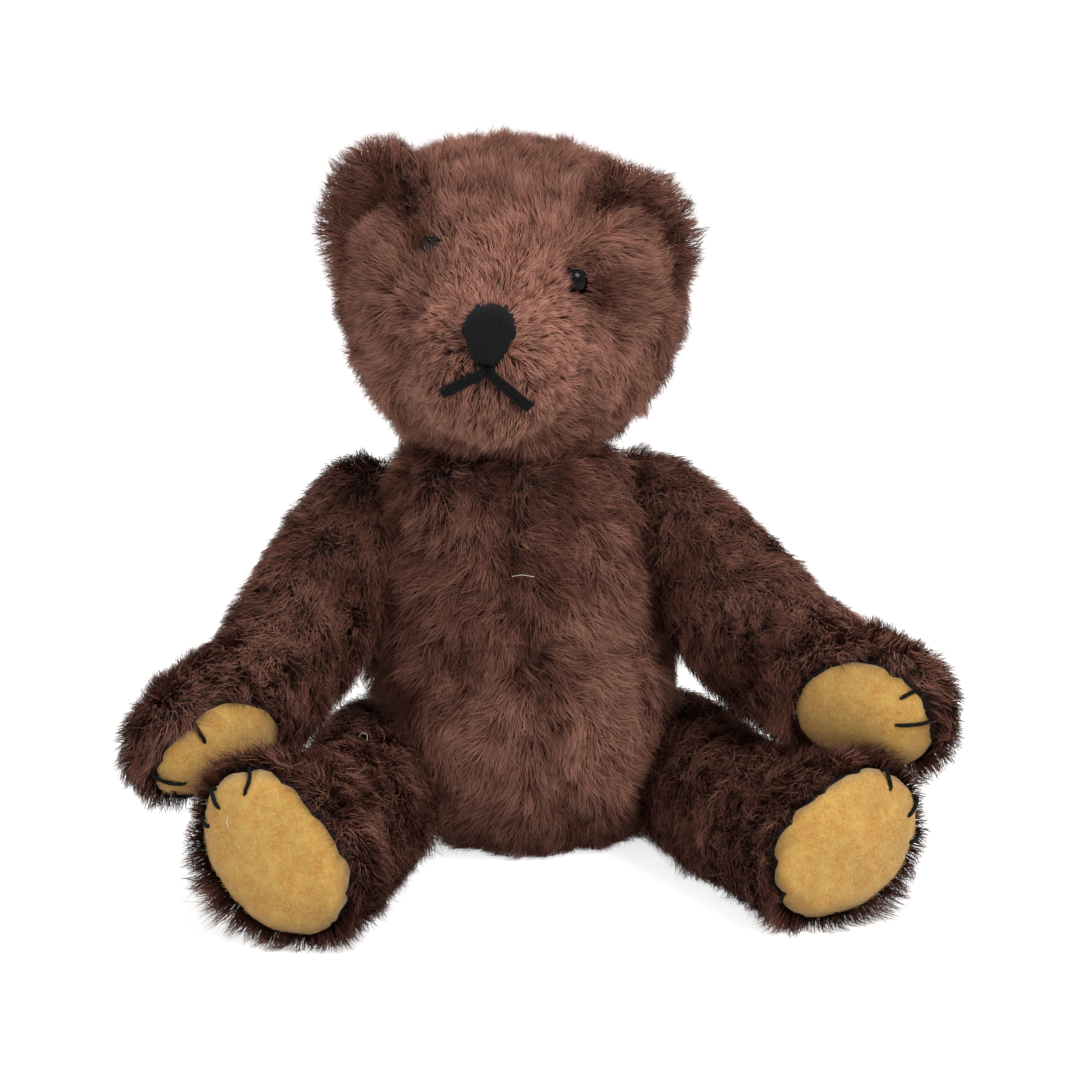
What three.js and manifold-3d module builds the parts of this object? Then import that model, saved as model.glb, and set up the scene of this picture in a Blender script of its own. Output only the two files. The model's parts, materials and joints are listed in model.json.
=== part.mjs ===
// A small jointed teddy bear of brown pile cloth, sitting, in millimetres.
// It faces -Y, +Z is up, and left means the bear's own left, which is +X.
// The origin is on the flat underside of the body, where it sits.

import * as THREE from 'three';
import { mergeVertices } from 'three/addons/utils/BufferGeometryUtils.js';
import Module from 'manifold-3d';

const wasm = await Module();
wasm.setup();

// Cloth and thread
const CLOTH = 1.8; // backing cloth with the matted foot of its pile
const GAP = 0.3; // between pieces that touch
const JOINT_GAP = 0.8; // between the covers of two bodies at a joint
const THREAD = 1.1; // diameter of the claw thread
const MOUTH_THREAD = 1.7;
const STUFFING_GAP = CLOTH + 2 * GAP;

// Body
const BODY_HEIGHT = 104;
const BODY_BASE_X = 2;
const BODY_TOP_X = -7;

// Joints: where each disc meets the body, and the way out of the body
const DISC_RADIUS = 8;
const DISC_THICKNESS = 2.2;
const PIN_RADIUS = 1.1;
const PIN_END = { radius: 2.4, head: 1, bend: 0.5, curl: 2.2 };
const PIN_HOLE_RADIUS = 1.6;
const PIN_ROOM = 3.4; // for the ends of the pin, behind the discs
const SEAT_RADIUS = 25; // of the flat place on the body
const NECK = { at: [-8, 0, BODY_HEIGHT], out: [0.07, 0, 1] };
const SHOULDER_LEFT = { at: [23, 3.5, 82], out: [0.96, 0.25, 0.08] };
const SHOULDER_RIGHT = { at: [-33.4, 3.5, 82], out: [-0.96, 0.25, 0.08] };
const HIP_LEFT = { at: [28.4, 6.5, 18.8], out: [0.94, 0.33, -0.08] };
const HIP_RIGHT = { at: [-26.7, 6.5, 18.8], out: [-0.94, 0.33, -0.08] };

// Head, in a frame of its own: its origin is on the neck and its nose points to -Y
const HEAD_TURN = -11; // degrees, the nose towards the bear's right
const HEAD_ROLL = 4.5; // degrees, the bear's left cheek lower
const SKULL = { at: [0, 2, 38], size: [41.5, 36, 38.5], lower: 43, narrowing: 0.003 };
const MUZZLE = { from: [0, -16, 29], to: [0, -42, 26.5], fromRadius: 19, toRadius: 14.5 };
const NOSE_BRIDGE = { from: [0, -26, 54], to: [0, -46, 34], fromRadius: 9, toRadius: 8 };
const CHIN = { side: 5.5, y: -41, z: 15, radius: 8.5 };
const FACE_BLEND = 7;
const HEAD_CORE = [0, -4, 34];

const EAR = { width: 18, depth: 8, height: 15.5, layer: 2 };
const EAR_LEFT = { at: [31, -15, 57], turn: 30, tilt: 56 };
const EAR_RIGHT = { at: [-34.5, -16.5, 57.5], turn: -34, tilt: -60 };

const EYE = { radius: 3.7, rim: 0.6, dome: 3, raised: 0.5 };
const EYE_LEFT = { x: 18, z: 47.5 };
const EYE_RIGHT = { x: -17.5, z: 52.5 };
const NOSE = { x: 0.3, z: 35.2, halfWidth: 6.6, halfHeight: 8, thickness: 2.2 };
const MOUTH_TOP = { x: 0.7, z: 26.4 };
const MOUTH_END_LEFT = { x: 10.6, z: 18.1 };
const MOUTH_END_RIGHT = { x: -9.8, z: 20 };

// Limbs: stations along the middle, from the joint to the tip. Each has its place, its half
// thickness across the joint, and its half width in the other direction.
const ARM_LEFT = {
  stations: [
    { at: [29, 11.5, 98.5], half: [12.5, 13] },
    { at: [32, 6, 83.5], half: [14.5, 17] },
    { at: [41.5, -6, 75], half: [15, 18] },
    { at: [52, -21, 65], half: [14.5, 18] },
    { at: [62, -38, 54.5], half: [14, 17] },
    { at: [72.5, -53, 49.5], half: [13.5, 16] },
    { at: [83, -66, 49], half: [12.5, 15.5] },
    { at: [94, -76, 49.5], half: [10.5, 14.5] },
  ],
  jointSide: [-0.96, -0.25, -0.08],
  tipSide: [-0.4, -0.83, -0.3],
  startRound: 0.09,
  endRound: 0.15,
};
const ARM_RIGHT = {
  stations: [
    { at: [-39.8, 11.5, 98], half: [12.5, 13] },
    { at: [-42.4, 5.8, 83], half: [14.5, 17] },
    { at: [-51, -5.5, 72.5], half: [14.5, 17.5] },
    { at: [-61.5, -20, 60], half: [14, 17] },
    { at: [-70, -35, 50.5], half: [13.5, 16.5] },
    { at: [-80, -48, 46], half: [13, 16] },
    { at: [-90.5, -59, 43], half: [12, 15] },
    { at: [-101, -67, 40.5], half: [10, 13.5] },
  ],
  jointSide: [0.96, -0.25, -0.08],
  tipSide: [0.8, -0.38, -0.46],
  startRound: 0.09,
  endRound: 0.15,
};
const LEG_LEFT = {
  stations: [
    { at: [34.8, 24, 17.5], half: [13.5, 15] },
    { at: [38.4, 7, 17.5], half: [15.5, 17] },
    { at: [42.7, -14, 17.5], half: [14.5, 18] },
    { at: [48, -38, 17.5], half: [14, 17.5] },
    { at: [55.5, -60, 18], half: [14.5, 18] },
    { at: [64, -77, 19.5], half: [16, 21] },
    { at: [70, -90.5, 20.5], half: [17.5, 25.5] },
  ],
  jointSide: [-0.94, -0.33, 0.08],
  tipSide: [-0.45, -0.09, 0.89],
  startRound: 0.09,
  endRound: 0.05,
};
const LEG_RIGHT = {
  stations: [
    { at: [-33.8, 24, 17.5], half: [13.5, 15] },
    { at: [-37.2, 7, 17.5], half: [15.5, 17] },
    { at: [-43.2, -14, 17.5], half: [14.5, 18] },
    { at: [-49, -38, 17.5], half: [14, 17.5] },
    { at: [-57, -60, 18.5], half: [14.5, 18] },
    { at: [-65, -79.5, 22], half: [16.5, 21] },
    { at: [-72, -93.5, 23.5], half: [18, 25] },
  ],
  jointSide: [0.94, -0.33, 0.08],
  tipSide: [0.7, -0.2, 0.69],
  startRound: 0.09,
  endRound: 0.05,
};

// Felt pads, each an outline laid on its limb. The paw's stops this far short of its middle line
const PAW_PAD = { at: 0.84, along: 19.5, across: 15, from: 3 };
const SOLE = { along: 23.5, across: 15.8 };
const SOLE_DEPTH = 7; // how far back from the leg's end the felt may reach
const PAD_COLUMN = 44; // length of the column that cuts a pad out of its cover

// Facets round a soft piece and along it
const HEAD_MESH = [18, 13];
const HEAD_INSIDE_MESH = [12, 8];
const BODY_MESH = [16, 10];
const BODY_INSIDE_MESH = [12, 7];
const LIMB_MESH = [12, 10];
const LIMB_INSIDE_MESH = [12, 9];

// Colours
const PILE = new THREE.Color().setRGB(0.27, 0.13, 0.09, THREE.SRGBColorSpace);
const PILE_PALE = new THREE.Color().setRGB(0.42, 0.25, 0.2, THREE.SRGBColorSpace);
const FELT = new THREE.Color().setRGB(0.83, 0.64, 0.3, THREE.SRGBColorSpace);
const BLACK_THREAD = new THREE.Color().setRGB(0.09, 0.1, 0.1, THREE.SRGBColorSpace);
const EYE_GLASS = new THREE.Color().setRGB(0.05, 0.035, 0.03, THREE.SRGBColorSpace);
const WOOD_WOOL = new THREE.Color().setRGB(0.8, 0.7, 0.5, THREE.SRGBColorSpace);
const FIBREBOARD = new THREE.Color().setRGB(0.5, 0.36, 0.24, THREE.SRGBColorSpace);
const STEEL = new THREE.Color().setRGB(0.6, 0.6, 0.6, THREE.SRGBColorSpace);

const cloth = () => new THREE.MeshStandardMaterial({ color: PILE, roughness: 0.9 });
const paleCloth = () => new THREE.MeshStandardMaterial({ color: PILE_PALE, roughness: 0.9 });
const felt = () => new THREE.MeshStandardMaterial({ color: FELT, roughness: 1 });
const thread = () => new THREE.MeshStandardMaterial({ color: BLACK_THREAD, roughness: 0.6 });
const eyeGlass = () => new THREE.MeshStandardMaterial({ color: EYE_GLASS, roughness: 0.1 });
const woodWool = () => new THREE.MeshStandardMaterial({ color: WOOD_WOOL, roughness: 1 });
const fibreboard = () => new THREE.MeshStandardMaterial({ color: FIBREBOARD, roughness: 0.8 });
const steel = () => new THREE.MeshStandardMaterial({ color: STEEL, roughness: 0.4, metalness: 1 });

// Solids

const bear = new THREE.Group();

const FAR = 300; // the size of a block that is larger than the bear

const vector = (list) => new THREE.Vector3(...list);

function solidOf(geometry) {
  const bare = geometry.clone();
  bare.deleteAttribute('normal');
  bare.deleteAttribute('uv');
  const merged = mergeVertices(bare, 1e-4);
  const mesh = new wasm.Mesh({
    numProp: 3,
    vertProperties: new Float32Array(merged.attributes.position.array),
    triVerts: new Uint32Array(merged.index.array),
  });
  return new wasm.Manifold(mesh);
}

function geometryOf(solid) {
  const mesh = solid.getMesh();
  const geometry = new THREE.BufferGeometry();
  geometry.setAttribute('position', new THREE.BufferAttribute(new Float32Array(mesh.vertProperties), 3));
  geometry.setIndex(new THREE.BufferAttribute(new Uint32Array(mesh.triVerts), 1));
  return geometry;
}

function add(name, shape, material) {
  const geometry = shape.isBufferGeometry ? shape : geometryOf(shape);
  const mesh = new THREE.Mesh(geometry, material);
  mesh.name = name;
  bear.add(mesh);
}

// The largest single body of a cut, without the slivers
function largest(solid) {
  return solid.decompose().sort((a, b) => b.volume() - a.volume())[0];
}

function centreOf(solid) {
  const box = solid.boundingBox();
  return new THREE.Vector3().addVectors(vector(box.min), vector(box.max)).multiplyScalar(0.5);
}

// A unit sphere whose every point is moved by place, which is given the point
function shapedSphere(segments, rings, place) {
  const geometry = new THREE.SphereGeometry(1, segments, rings);
  const points = geometry.attributes.position;
  const point = new THREE.Vector3();
  for (let i = 0; i < points.count; i += 1) {
    point.fromBufferAttribute(points, i);
    const moved = place(point);
    points.setXYZ(i, moved.x, moved.y, moved.z);
  }
  return geometry;
}

// A matrix that carries +Z to the joint's way out, and the origin to its place plus a step out
function jointMatrix(joint, step) {
  const out = vector(joint.out).normalize();
  const turn = new THREE.Quaternion().setFromUnitVectors(new THREE.Vector3(0, 0, 1), out);
  const place = vector(joint.at).addScaledVector(out, step);
  return new THREE.Matrix4().compose(place, turn, new THREE.Vector3(1, 1, 1));
}

// A round bar on a joint's axis, between two steps out of the body
function roundBar(joint, radius, from, to, sides) {
  const bar = new THREE.CylinderGeometry(radius, radius, to - from, sides);
  bar.rotateX(Math.PI / 2);
  bar.applyMatrix4(jointMatrix(joint, (from + to) / 2));
  return solidOf(bar);
}

// What lies further out than this step, as a block to cut with
function beyond(joint, step) {
  const block = new THREE.BoxGeometry(FAR, FAR, FAR);
  block.applyMatrix4(jointMatrix(joint, step + FAR / 2));
  return solidOf(block);
}

// Body

function bodyMiddle(z) {
  return BODY_BASE_X + ((BODY_TOP_X - BODY_BASE_X) * z) / BODY_HEIGHT;
}

// Height, half width, depth to the front and to the back
const BODY_STATIONS = [
  [-4, 15, 14, 14],
  [6, 26, 22, 21],
  [16, 32.5, 28, 25.5],
  [30, 36, 33, 28.5],
  [46, 37.5, 35, 29],
  [62, 36.5, 33, 28.5],
  [76, 33.5, 30, 28],
  [88, 31.5, 27.5, 27],
  [98, 28.5, 25, 25],
  [108, 23, 21, 21],
];
const BODY_SIZES = new THREE.CatmullRomCurve3(BODY_STATIONS.map((s) => new THREE.Vector3(s[1], s[2], s[3])));
const BODY_HEIGHTS = new THREE.CatmullRomCurve3(BODY_STATIONS.map((s) => new THREE.Vector3(0, 0, s[0])));
const BODY_END_ROUND = 0.05;

function roundedEnd(share, round) {
  if (share >= round) {
    return 1;
  }
  const left = 1 - share / round;
  return Math.sqrt(Math.max(0, 1 - left * left));
}

function bodyShape(inset, segments, rings) {
  return shapedSphere(segments, rings, (point) => {
    const share = (1 - point.y) / 2;
    const size = BODY_SIZES.getPoint(share);
    const z = BODY_HEIGHTS.getPoint(share).z;
    const full = Math.min(roundedEnd(share, BODY_END_ROUND), roundedEnd(1 - share, BODY_END_ROUND));
    const around = Math.atan2(point.z, point.x);
    const depth = Math.sin(around) < 0 ? size.y : size.z;
    return new THREE.Vector3(
      bodyMiddle(z) + (size.x - inset) * full * Math.cos(around),
      (depth - inset) * full * Math.sin(around),
      z,
    );
  });
}

const LIMB_JOINTS = [SHOULDER_LEFT, SHOULDER_RIGHT, HIP_LEFT, HIP_RIGHT];
const FLOOR = { at: [0, 0, 0], out: [0, 0, -1] };

// The body's outside at an inset, with a flat seat at each joint and on the floor
function bodySolid(inset, segments, rings) {
  let solid = solidOf(bodyShape(inset, segments, rings));
  solid = solid.subtract(beyond(FLOOR, -inset));
  solid = solid.subtract(beyond(NECK, -inset));
  for (const joint of LIMB_JOINTS) {
    solid = solid.subtract(roundBar(joint, SEAT_RADIUS + inset, -inset - JOINT_GAP / 2, 60, 16));
  }
  return solid;
}

// Thin slab through the middle of the body, along the front and back seams
function bodySeam() {
  const slab = new THREE.BoxGeometry(GAP, FAR, FAR);
  const lean = Math.atan2(BODY_TOP_X - BODY_BASE_X, BODY_HEIGHT);
  slab.rotateY(lean);
  slab.translate(bodyMiddle(BODY_HEIGHT / 2), 0, BODY_HEIGHT / 2);
  return solidOf(slab);
}

function pinHoles(solid, joints) {
  const reach = 12;
  let holed = solid;
  for (const joint of joints) {
    holed = holed.subtract(roundBar(joint, PIN_HOLE_RADIUS, -reach, reach, 6));
  }
  return holed;
}

// A joint disc lies just inside the cover: from is its outer face, counted out of the body
function disc(joint, inner) {
  const face = JOINT_GAP / 2 + CLOTH + GAP;
  const far = face + DISC_THICKNESS;
  const [from, to] = inner ? [-far, -face] : [face, far];
  return roundBar(joint, DISC_RADIUS, from, to, 12);
}

// The filling leaves room for the disc and for the end of the pin behind it
function pocketed(solid, joint, inner) {
  const reach = JOINT_GAP / 2 + CLOTH + GAP + DISC_THICKNESS + PIN_ROOM;
  const [from, to] = inner ? [-reach, 0] : [0, reach];
  return solid.subtract(roundBar(joint, DISC_RADIUS + 2 * GAP, from, to, 12));
}

function addDisc(name, joint, inner) {
  add(name, pinHoles(disc(joint, inner), [joint]), fibreboard());
}

// The pin that holds two discs together: a washer head, a shaft and a curled end
function addPin(name, joint) {
  const face = JOINT_GAP / 2 + CLOTH + GAP + DISC_THICKNESS + GAP;
  const profile = [
    [0, -face - PIN_END.head],
    [PIN_END.radius, -face - PIN_END.head],
    [PIN_END.radius, -face],
    [PIN_RADIUS, -face],
    [PIN_RADIUS, face],
    [PIN_END.radius, face + PIN_END.bend],
    [PIN_RADIUS, face + PIN_END.curl],
    [0, face + PIN_END.curl],
  ];
  const pin = new THREE.LatheGeometry(profile.map(([r, z]) => new THREE.Vector2(r, z)), 8);
  pin.rotateX(Math.PI / 2);
  pin.applyMatrix4(jointMatrix(joint, 0));
  add(name, solidOf(pin), steel());
}

function buildBody() {
  const outside = bodySolid(0, ...BODY_MESH);
  const inside = bodySolid(CLOTH, ...BODY_INSIDE_MESH);
  const cover = pinHoles(outside.subtract(inside), [NECK, ...LIMB_JOINTS]).subtract(bodySeam());
  const halves = cover.decompose().sort((a, b) => b.volume() - a.volume()).slice(0, 2);
  halves.sort((a, b) => centreOf(a).x - centreOf(b).x);
  add('body_panel_right', halves[0], cloth());
  add('body_panel_left', halves[1], cloth());
  let stuffing = bodySolid(STUFFING_GAP, ...BODY_INSIDE_MESH);
  for (const joint of [NECK, ...LIMB_JOINTS]) {
    stuffing = pocketed(stuffing, joint, true);
  }
  add('body_stuffing', largest(stuffing), woodWool());
  addDisc('neck_disc_body', NECK, true);
  addDisc('shoulder_disc_left', SHOULDER_LEFT, true);
  addDisc('shoulder_disc_right', SHOULDER_RIGHT, true);
  addDisc('hip_disc_left', HIP_LEFT, true);
  addDisc('hip_disc_right', HIP_RIGHT, true);
}

// Head

const headTurn = new THREE.Quaternion()
  .setFromAxisAngle(new THREE.Vector3(0, 1, 0), THREE.MathUtils.degToRad(HEAD_ROLL))
  .multiply(
    new THREE.Quaternion().setFromAxisAngle(new THREE.Vector3(0, 0, 1), THREE.MathUtils.degToRad(HEAD_TURN)),
  );
const headMatrix = new THREE.Matrix4().compose(
  vector(NECK.at).addScaledVector(vector(NECK.out).normalize(), 1),
  headTurn,
  new THREE.Vector3(1, 1, 1),
);

function ovalDistance(p, skull) {
  const narrow = 1 + skull.narrowing * (p.z - skull.at[2]);
  const x = (p.x - skull.at[0]) / narrow;
  const height = p.z > skull.at[2] ? skull.size[2] : skull.lower;
  const y = p.y - skull.at[1];
  const scaled = Math.hypot(x / skull.size[0], y / skull.size[1], (p.z - skull.at[2]) / height);
  return (scaled - 1) * Math.min(...skull.size);
}

function coneDistance(p, cone) {
  const from = vector(cone.from);
  const axis = vector(cone.to).sub(from);
  const offset = p.clone().sub(from);
  const share = THREE.MathUtils.clamp(offset.dot(axis) / axis.lengthSq(), 0, 1);
  const radius = THREE.MathUtils.lerp(cone.fromRadius, cone.toRadius, share);
  return offset.addScaledVector(axis, -share).length() - radius;
}

function blendDistance(a, b, blend) {
  const share = THREE.MathUtils.clamp(0.5 + (0.5 * (b - a)) / blend, 0, 1);
  return THREE.MathUtils.lerp(b, a, share) - blend * share * (1 - share);
}

function headDistance(p) {
  let distance = ovalDistance(p, SKULL);
  distance = blendDistance(distance, coneDistance(p, MUZZLE), FACE_BLEND);
  distance = blendDistance(distance, coneDistance(p, NOSE_BRIDGE), FACE_BLEND);
  for (const side of [-CHIN.side, CHIN.side]) {
    const bump = p.distanceTo(new THREE.Vector3(side, CHIN.y, CHIN.z)) - CHIN.radius;
    distance = blendDistance(distance, bump, FACE_BLEND / 2);
  }
  return distance;
}

// The point in this direction from the head's core where the distance is offset
function headPoint(direction, offset) {
  const core = vector(HEAD_CORE);
  let near = 0;
  let far = 90;
  for (let i = 0; i < 32; i += 1) {
    const middle = (near + far) / 2;
    const point = core.clone().addScaledVector(direction, middle);
    if (headDistance(point) < offset) {
      near = middle;
    } else {
      far = middle;
    }
  }
  return core.addScaledVector(direction, near);
}

// Where a line along Y, at this x and z, comes out of the face at an offset
function facePoint(x, z, offset) {
  let near = -20;
  let far = -90;
  for (let i = 0; i < 32; i += 1) {
    const middle = (near + far) / 2;
    if (headDistance(new THREE.Vector3(x, middle, z)) < offset) {
      near = middle;
    } else {
      far = middle;
    }
  }
  return new THREE.Vector3(x, near, z);
}

function headShape(offset, segments, rings) {
  // The poles lie front and back, so the rings close round the muzzle
  return shapedSphere(segments, rings, (point) => {
    const direction = new THREE.Vector3(-point.x, -point.y, point.z).normalize();
    // More rings in front, where the muzzle is
    const turn = Math.acos(THREE.MathUtils.clamp(-direction.y, -1, 1)) / Math.PI;
    const crowded = Math.PI * Math.pow(turn, 1.25);
    const flat = new THREE.Vector3(direction.x, 0, direction.z);
    if (flat.length() < 1e-6) {
      return headPoint(new THREE.Vector3(0, Math.sign(direction.y), 0), offset);
    }
    flat.normalize().multiplyScalar(Math.sin(crowded));
    flat.y = -Math.cos(crowded);
    return headPoint(flat, offset);
  });
}

function placed(geometry) {
  return geometry.clone().applyMatrix4(headMatrix);
}

const HEAD_SEAT = { at: NECK.at, out: NECK.out.map((x) => -x) };

function headSolid(offset, segments, rings) {
  const shape = solidOf(placed(headShape(offset, segments, rings)));
  return shape.subtract(beyond(HEAD_SEAT, -JOINT_GAP / 2 + Math.min(offset, 0)));
}

function prismZ(points, from, to) {
  const shape = new THREE.Shape(points.map(([x, y]) => new THREE.Vector2(x, y)));
  const prism = new THREE.ExtrudeGeometry(shape, { depth: to - from, bevelEnabled: false, curveSegments: 6 });
  prism.translate(0, 0, from);
  return solidOf(placed(prism));
}

// The middle panel, seen from above: narrow at the nose and at the nape
function middlePanelOutline(grow) {
  const half = [
    [4.5, -64],
    [5, -50],
    [11, -34],
    [15, -14],
    [15.5, 6],
    [12, 24],
    [7, 44],
  ];
  const right = half.map(([x, y]) => [x + grow, y]);
  const left = half.map(([x, y]) => [-x - grow, y]).reverse();
  return [...right, ...left];
}

const MIDDLE_PANEL_FROM = 34; // height of the panel's lower end, at the nose

function ear(spec, offset, thick) {
  const outer = new THREE.SphereGeometry(1, 12, 7);
  outer.scale(EAR.width + offset, EAR.depth + offset, EAR.height + offset);
  const inner = new THREE.SphereGeometry(1, 12, 7);
  inner.scale(EAR.width + offset - thick, EAR.depth + offset - thick, EAR.height + offset - thick);
  const front = new THREE.BoxGeometry(FAR, FAR, FAR);
  front.translate(0, -FAR / 2, 0);
  const place = new THREE.Matrix4()
    .makeTranslation(...spec.at)
    .multiply(new THREE.Matrix4().makeRotationZ(THREE.MathUtils.degToRad(spec.turn)))
    .multiply(new THREE.Matrix4().makeRotationY(THREE.MathUtils.degToRad(spec.tilt)));
  const solids = [outer, inner, front].map((g) => solidOf(placed(g.applyMatrix4(place))));
  return solids[0].subtract(solids[1]).subtract(solids[2]);
}

function buildEar(side, spec, head) {
  const back = ear(spec, 0, EAR.layer).subtract(head);
  const front = ear(spec, -EAR.layer - GAP, EAR.layer).subtract(head);
  add(`ear_${side}_back`, largest(back), cloth());
  add(`ear_${side}_front`, largest(front), paleCloth());
}

// The way out of the face at a point, from how the distance grows round it
function faceNormal(at) {
  const growth = (x, y, z) => {
    const step = new THREE.Vector3(x, y, z);
    return headDistance(at.clone().add(step)) - headDistance(at.clone().sub(step));
  };
  return new THREE.Vector3(growth(1, 0, 0), growth(0, 1, 0), growth(0, 0, 1)).normalize();
}

// Half the outline of an eye, which is turned round to make it: a low rim under a dome
function eyeProfile() {
  const profile = [new THREE.Vector2(0, 0), new THREE.Vector2(EYE.radius, 0)];
  const steps = 4;
  for (let i = 0; i < steps; i += 1) {
    const turn = (i / steps) * (Math.PI / 2);
    profile.push(new THREE.Vector2(EYE.radius * Math.cos(turn), EYE.rim + EYE.dome * Math.sin(turn)));
  }
  profile.push(new THREE.Vector2(0, EYE.rim + EYE.dome));
  return profile;
}

function buildEye(side, x, z) {
  const at = facePoint(x, z, GAP);
  const out = faceNormal(at);
  const eye = new THREE.LatheGeometry(eyeProfile(), 12);
  eye.applyQuaternion(new THREE.Quaternion().setFromUnitVectors(new THREE.Vector3(0, 1, 0), out));
  at.addScaledVector(out, EYE.raised);
  eye.translate(at.x, at.y, at.z);
  const solid = solidOf(placed(eye)).subtract(headSolid(GAP, ...HEAD_MESH));
  add(`eye_${side}`, largest(solid), eyeGlass());
}

function buildNose() {
  const oval = new THREE.Shape();
  oval.absellipse(NOSE.x, NOSE.z, NOSE.halfWidth, NOSE.halfHeight, 0, Math.PI * 2);
  const column = new THREE.ExtrudeGeometry(oval, { depth: 80, bevelEnabled: false, curveSegments: 6 });
  column.rotateX(Math.PI / 2);
  const top = solidOf(placed(headShape(GAP + NOSE.thickness, ...HEAD_MESH)));
  const foot = solidOf(placed(headShape(GAP, ...HEAD_MESH)));
  add('nose', largest(top.subtract(foot).intersect(solidOf(placed(column)))), thread());
}

// A strand of thread through these points
function strand(points, diameter, steps) {
  const circle = new THREE.Shape();
  circle.absarc(0, 0, diameter / 2, 0, Math.PI * 2);
  const path = new THREE.CatmullRomCurve3(points);
  return new THREE.ExtrudeGeometry(circle, {
    steps,
    extrudePath: path,
    bevelEnabled: false,
    curveSegments: 3,
  });
}

function addMouthStitch(side, end) {
  const points = [];
  const startX = MOUTH_TOP.x + Math.sign(end.x) * 1.1;
  for (let i = 0; i <= 4; i += 1) {
    const x = THREE.MathUtils.lerp(startX, end.x, i / 4);
    const z = THREE.MathUtils.lerp(MOUTH_TOP.z, end.z, i / 4);
    points.push(facePoint(x, z, GAP + MOUTH_THREAD * 0.6));
  }
  add(`mouth_${side}`, solidOf(placed(strand(points, MOUTH_THREAD, 5))), thread());
}

function buildHead() {
  const outside = headSolid(0, ...HEAD_MESH);
  const inside = headSolid(-CLOTH, ...HEAD_INSIDE_MESH);
  const cover = pinHoles(outside.subtract(inside), [NECK]);
  const middle = cover.intersect(prismZ(middlePanelOutline(0), MIDDLE_PANEL_FROM, 100));
  add('head_middle_panel', largest(middle), cloth());
  const slab = new THREE.BoxGeometry(GAP, FAR, FAR);
  const sides = cover
    .subtract(prismZ(middlePanelOutline(GAP), MIDDLE_PANEL_FROM - GAP, 100))
    .subtract(solidOf(placed(slab)));
  const halves = sides.decompose().sort((a, b) => b.volume() - a.volume()).slice(0, 2);
  halves.sort((a, b) => centreOf(a).x - centreOf(b).x);
  add('head_side_panel_right', halves[0], cloth());
  add('head_side_panel_left', halves[1], cloth());
  const stuffing = pocketed(headSolid(-STUFFING_GAP, ...HEAD_INSIDE_MESH), NECK, false);
  add('head_stuffing', largest(stuffing), woodWool());
  const clear = headSolid(GAP, ...HEAD_MESH);
  buildEar('left', EAR_LEFT, clear);
  buildEar('right', EAR_RIGHT, clear);
  buildEye('left', EYE_LEFT.x, EYE_LEFT.z);
  buildEye('right', EYE_RIGHT.x, EYE_RIGHT.z);
  buildNose();
  addMouthStitch('left', MOUTH_END_LEFT);
  addMouthStitch('right', MOUTH_END_RIGHT);
  addDisc('neck_disc_head', NECK, false);
  addPin('neck_pin', NECK);
}

// Limbs

const LIMB_SEAT_RADIUS = 24;
const HALF_MARGIN = 8; // how far the block that cuts out a panel stands past the limb
const HALF_ROUND = 0.01;

function prepared(limb) {
  return {
    ...limb,
    path: new THREE.CatmullRomCurve3(limb.stations.map((s) => vector(s.at))),
    sizes: new THREE.CatmullRomCurve3(limb.stations.map((s) => new THREE.Vector3(s.half[0], s.half[1], 0))),
    length: new THREE.CatmullRomCurve3(limb.stations.map((s) => vector(s.at))).getLength(),
  };
}

// The limb's directions at a share of its length: along it, towards its inner face, and across
function limbFrame(limb, share) {
  const along = limb.path.getTangent(share);
  const turned = THREE.MathUtils.smoothstep(share, 0.15, 0.85);
  const inner = vector(limb.jointSide).lerp(vector(limb.tipSide), turned);
  inner.addScaledVector(along, -inner.dot(along)).normalize();
  const across = new THREE.Vector3().crossVectors(inner, along);
  return { along, inner, across };
}

// A point of the limb's surface: share along it, angle round it from the inner face
function limbPoint(limb, share, angle, offset) {
  const slack = -offset / limb.length;
  const inside = THREE.MathUtils.lerp(slack, 1 - slack, share);
  const { inner, across } = limbFrame(limb, THREE.MathUtils.clamp(inside, 0, 1));
  const size = limb.sizes.getPoint(THREE.MathUtils.clamp(inside, 0, 1));
  const full = Math.min(roundedEnd(share, limb.startRound), roundedEnd(1 - share, limb.endRound));
  const point = limb.path.getPoint(THREE.MathUtils.clamp(inside, 0, 1));
  const past = Math.min(0, inside) + Math.max(0, inside - 1);
  point.addScaledVector(limbFrame(limb, 0.5 + Math.sign(past) * 0.5).along, past * limb.length);
  point.addScaledVector(inner, (size.x + offset) * full * Math.cos(angle));
  point.addScaledVector(across, (size.y + offset) * full * Math.sin(angle));
  return point;
}

function limbShape(limb, offset, segments, rings) {
  return shapedSphere(segments, rings, (point) => {
    const share = (1 + point.y) / 2;
    const angle = Math.atan2(point.z, point.x);
    return limbPoint(limb, share, angle, offset);
  });
}

// A block that holds the inner half of the limb, up to the sheet where its two panels are sewn
// together, which it moves by a step towards the inner face
function innerHalf(limb, step) {
  return solidOf(
    shapedSphere(8, 8, (point) => {
      const share = (1 + point.y) / 2;
      const angle = Math.atan2(point.z, point.x);
      const { inner, across, along } = limbFrame(limb, share);
      const size = limb.sizes.getPoint(share);
      const full = Math.min(roundedEnd(share, HALF_ROUND), roundedEnd(1 - share, HALF_ROUND));
      const out = Math.max(0, Math.cos(angle)) * (size.x + HALF_MARGIN) * full + step;
      const place = limb.path.getPoint(share).addScaledVector(along, (share - 0.5) * 2 * HALF_MARGIN);
      place.addScaledVector(inner, out);
      return place.addScaledVector(across, (size.y + HALF_MARGIN) * full * Math.sin(angle));
    }),
  );
}

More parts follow.
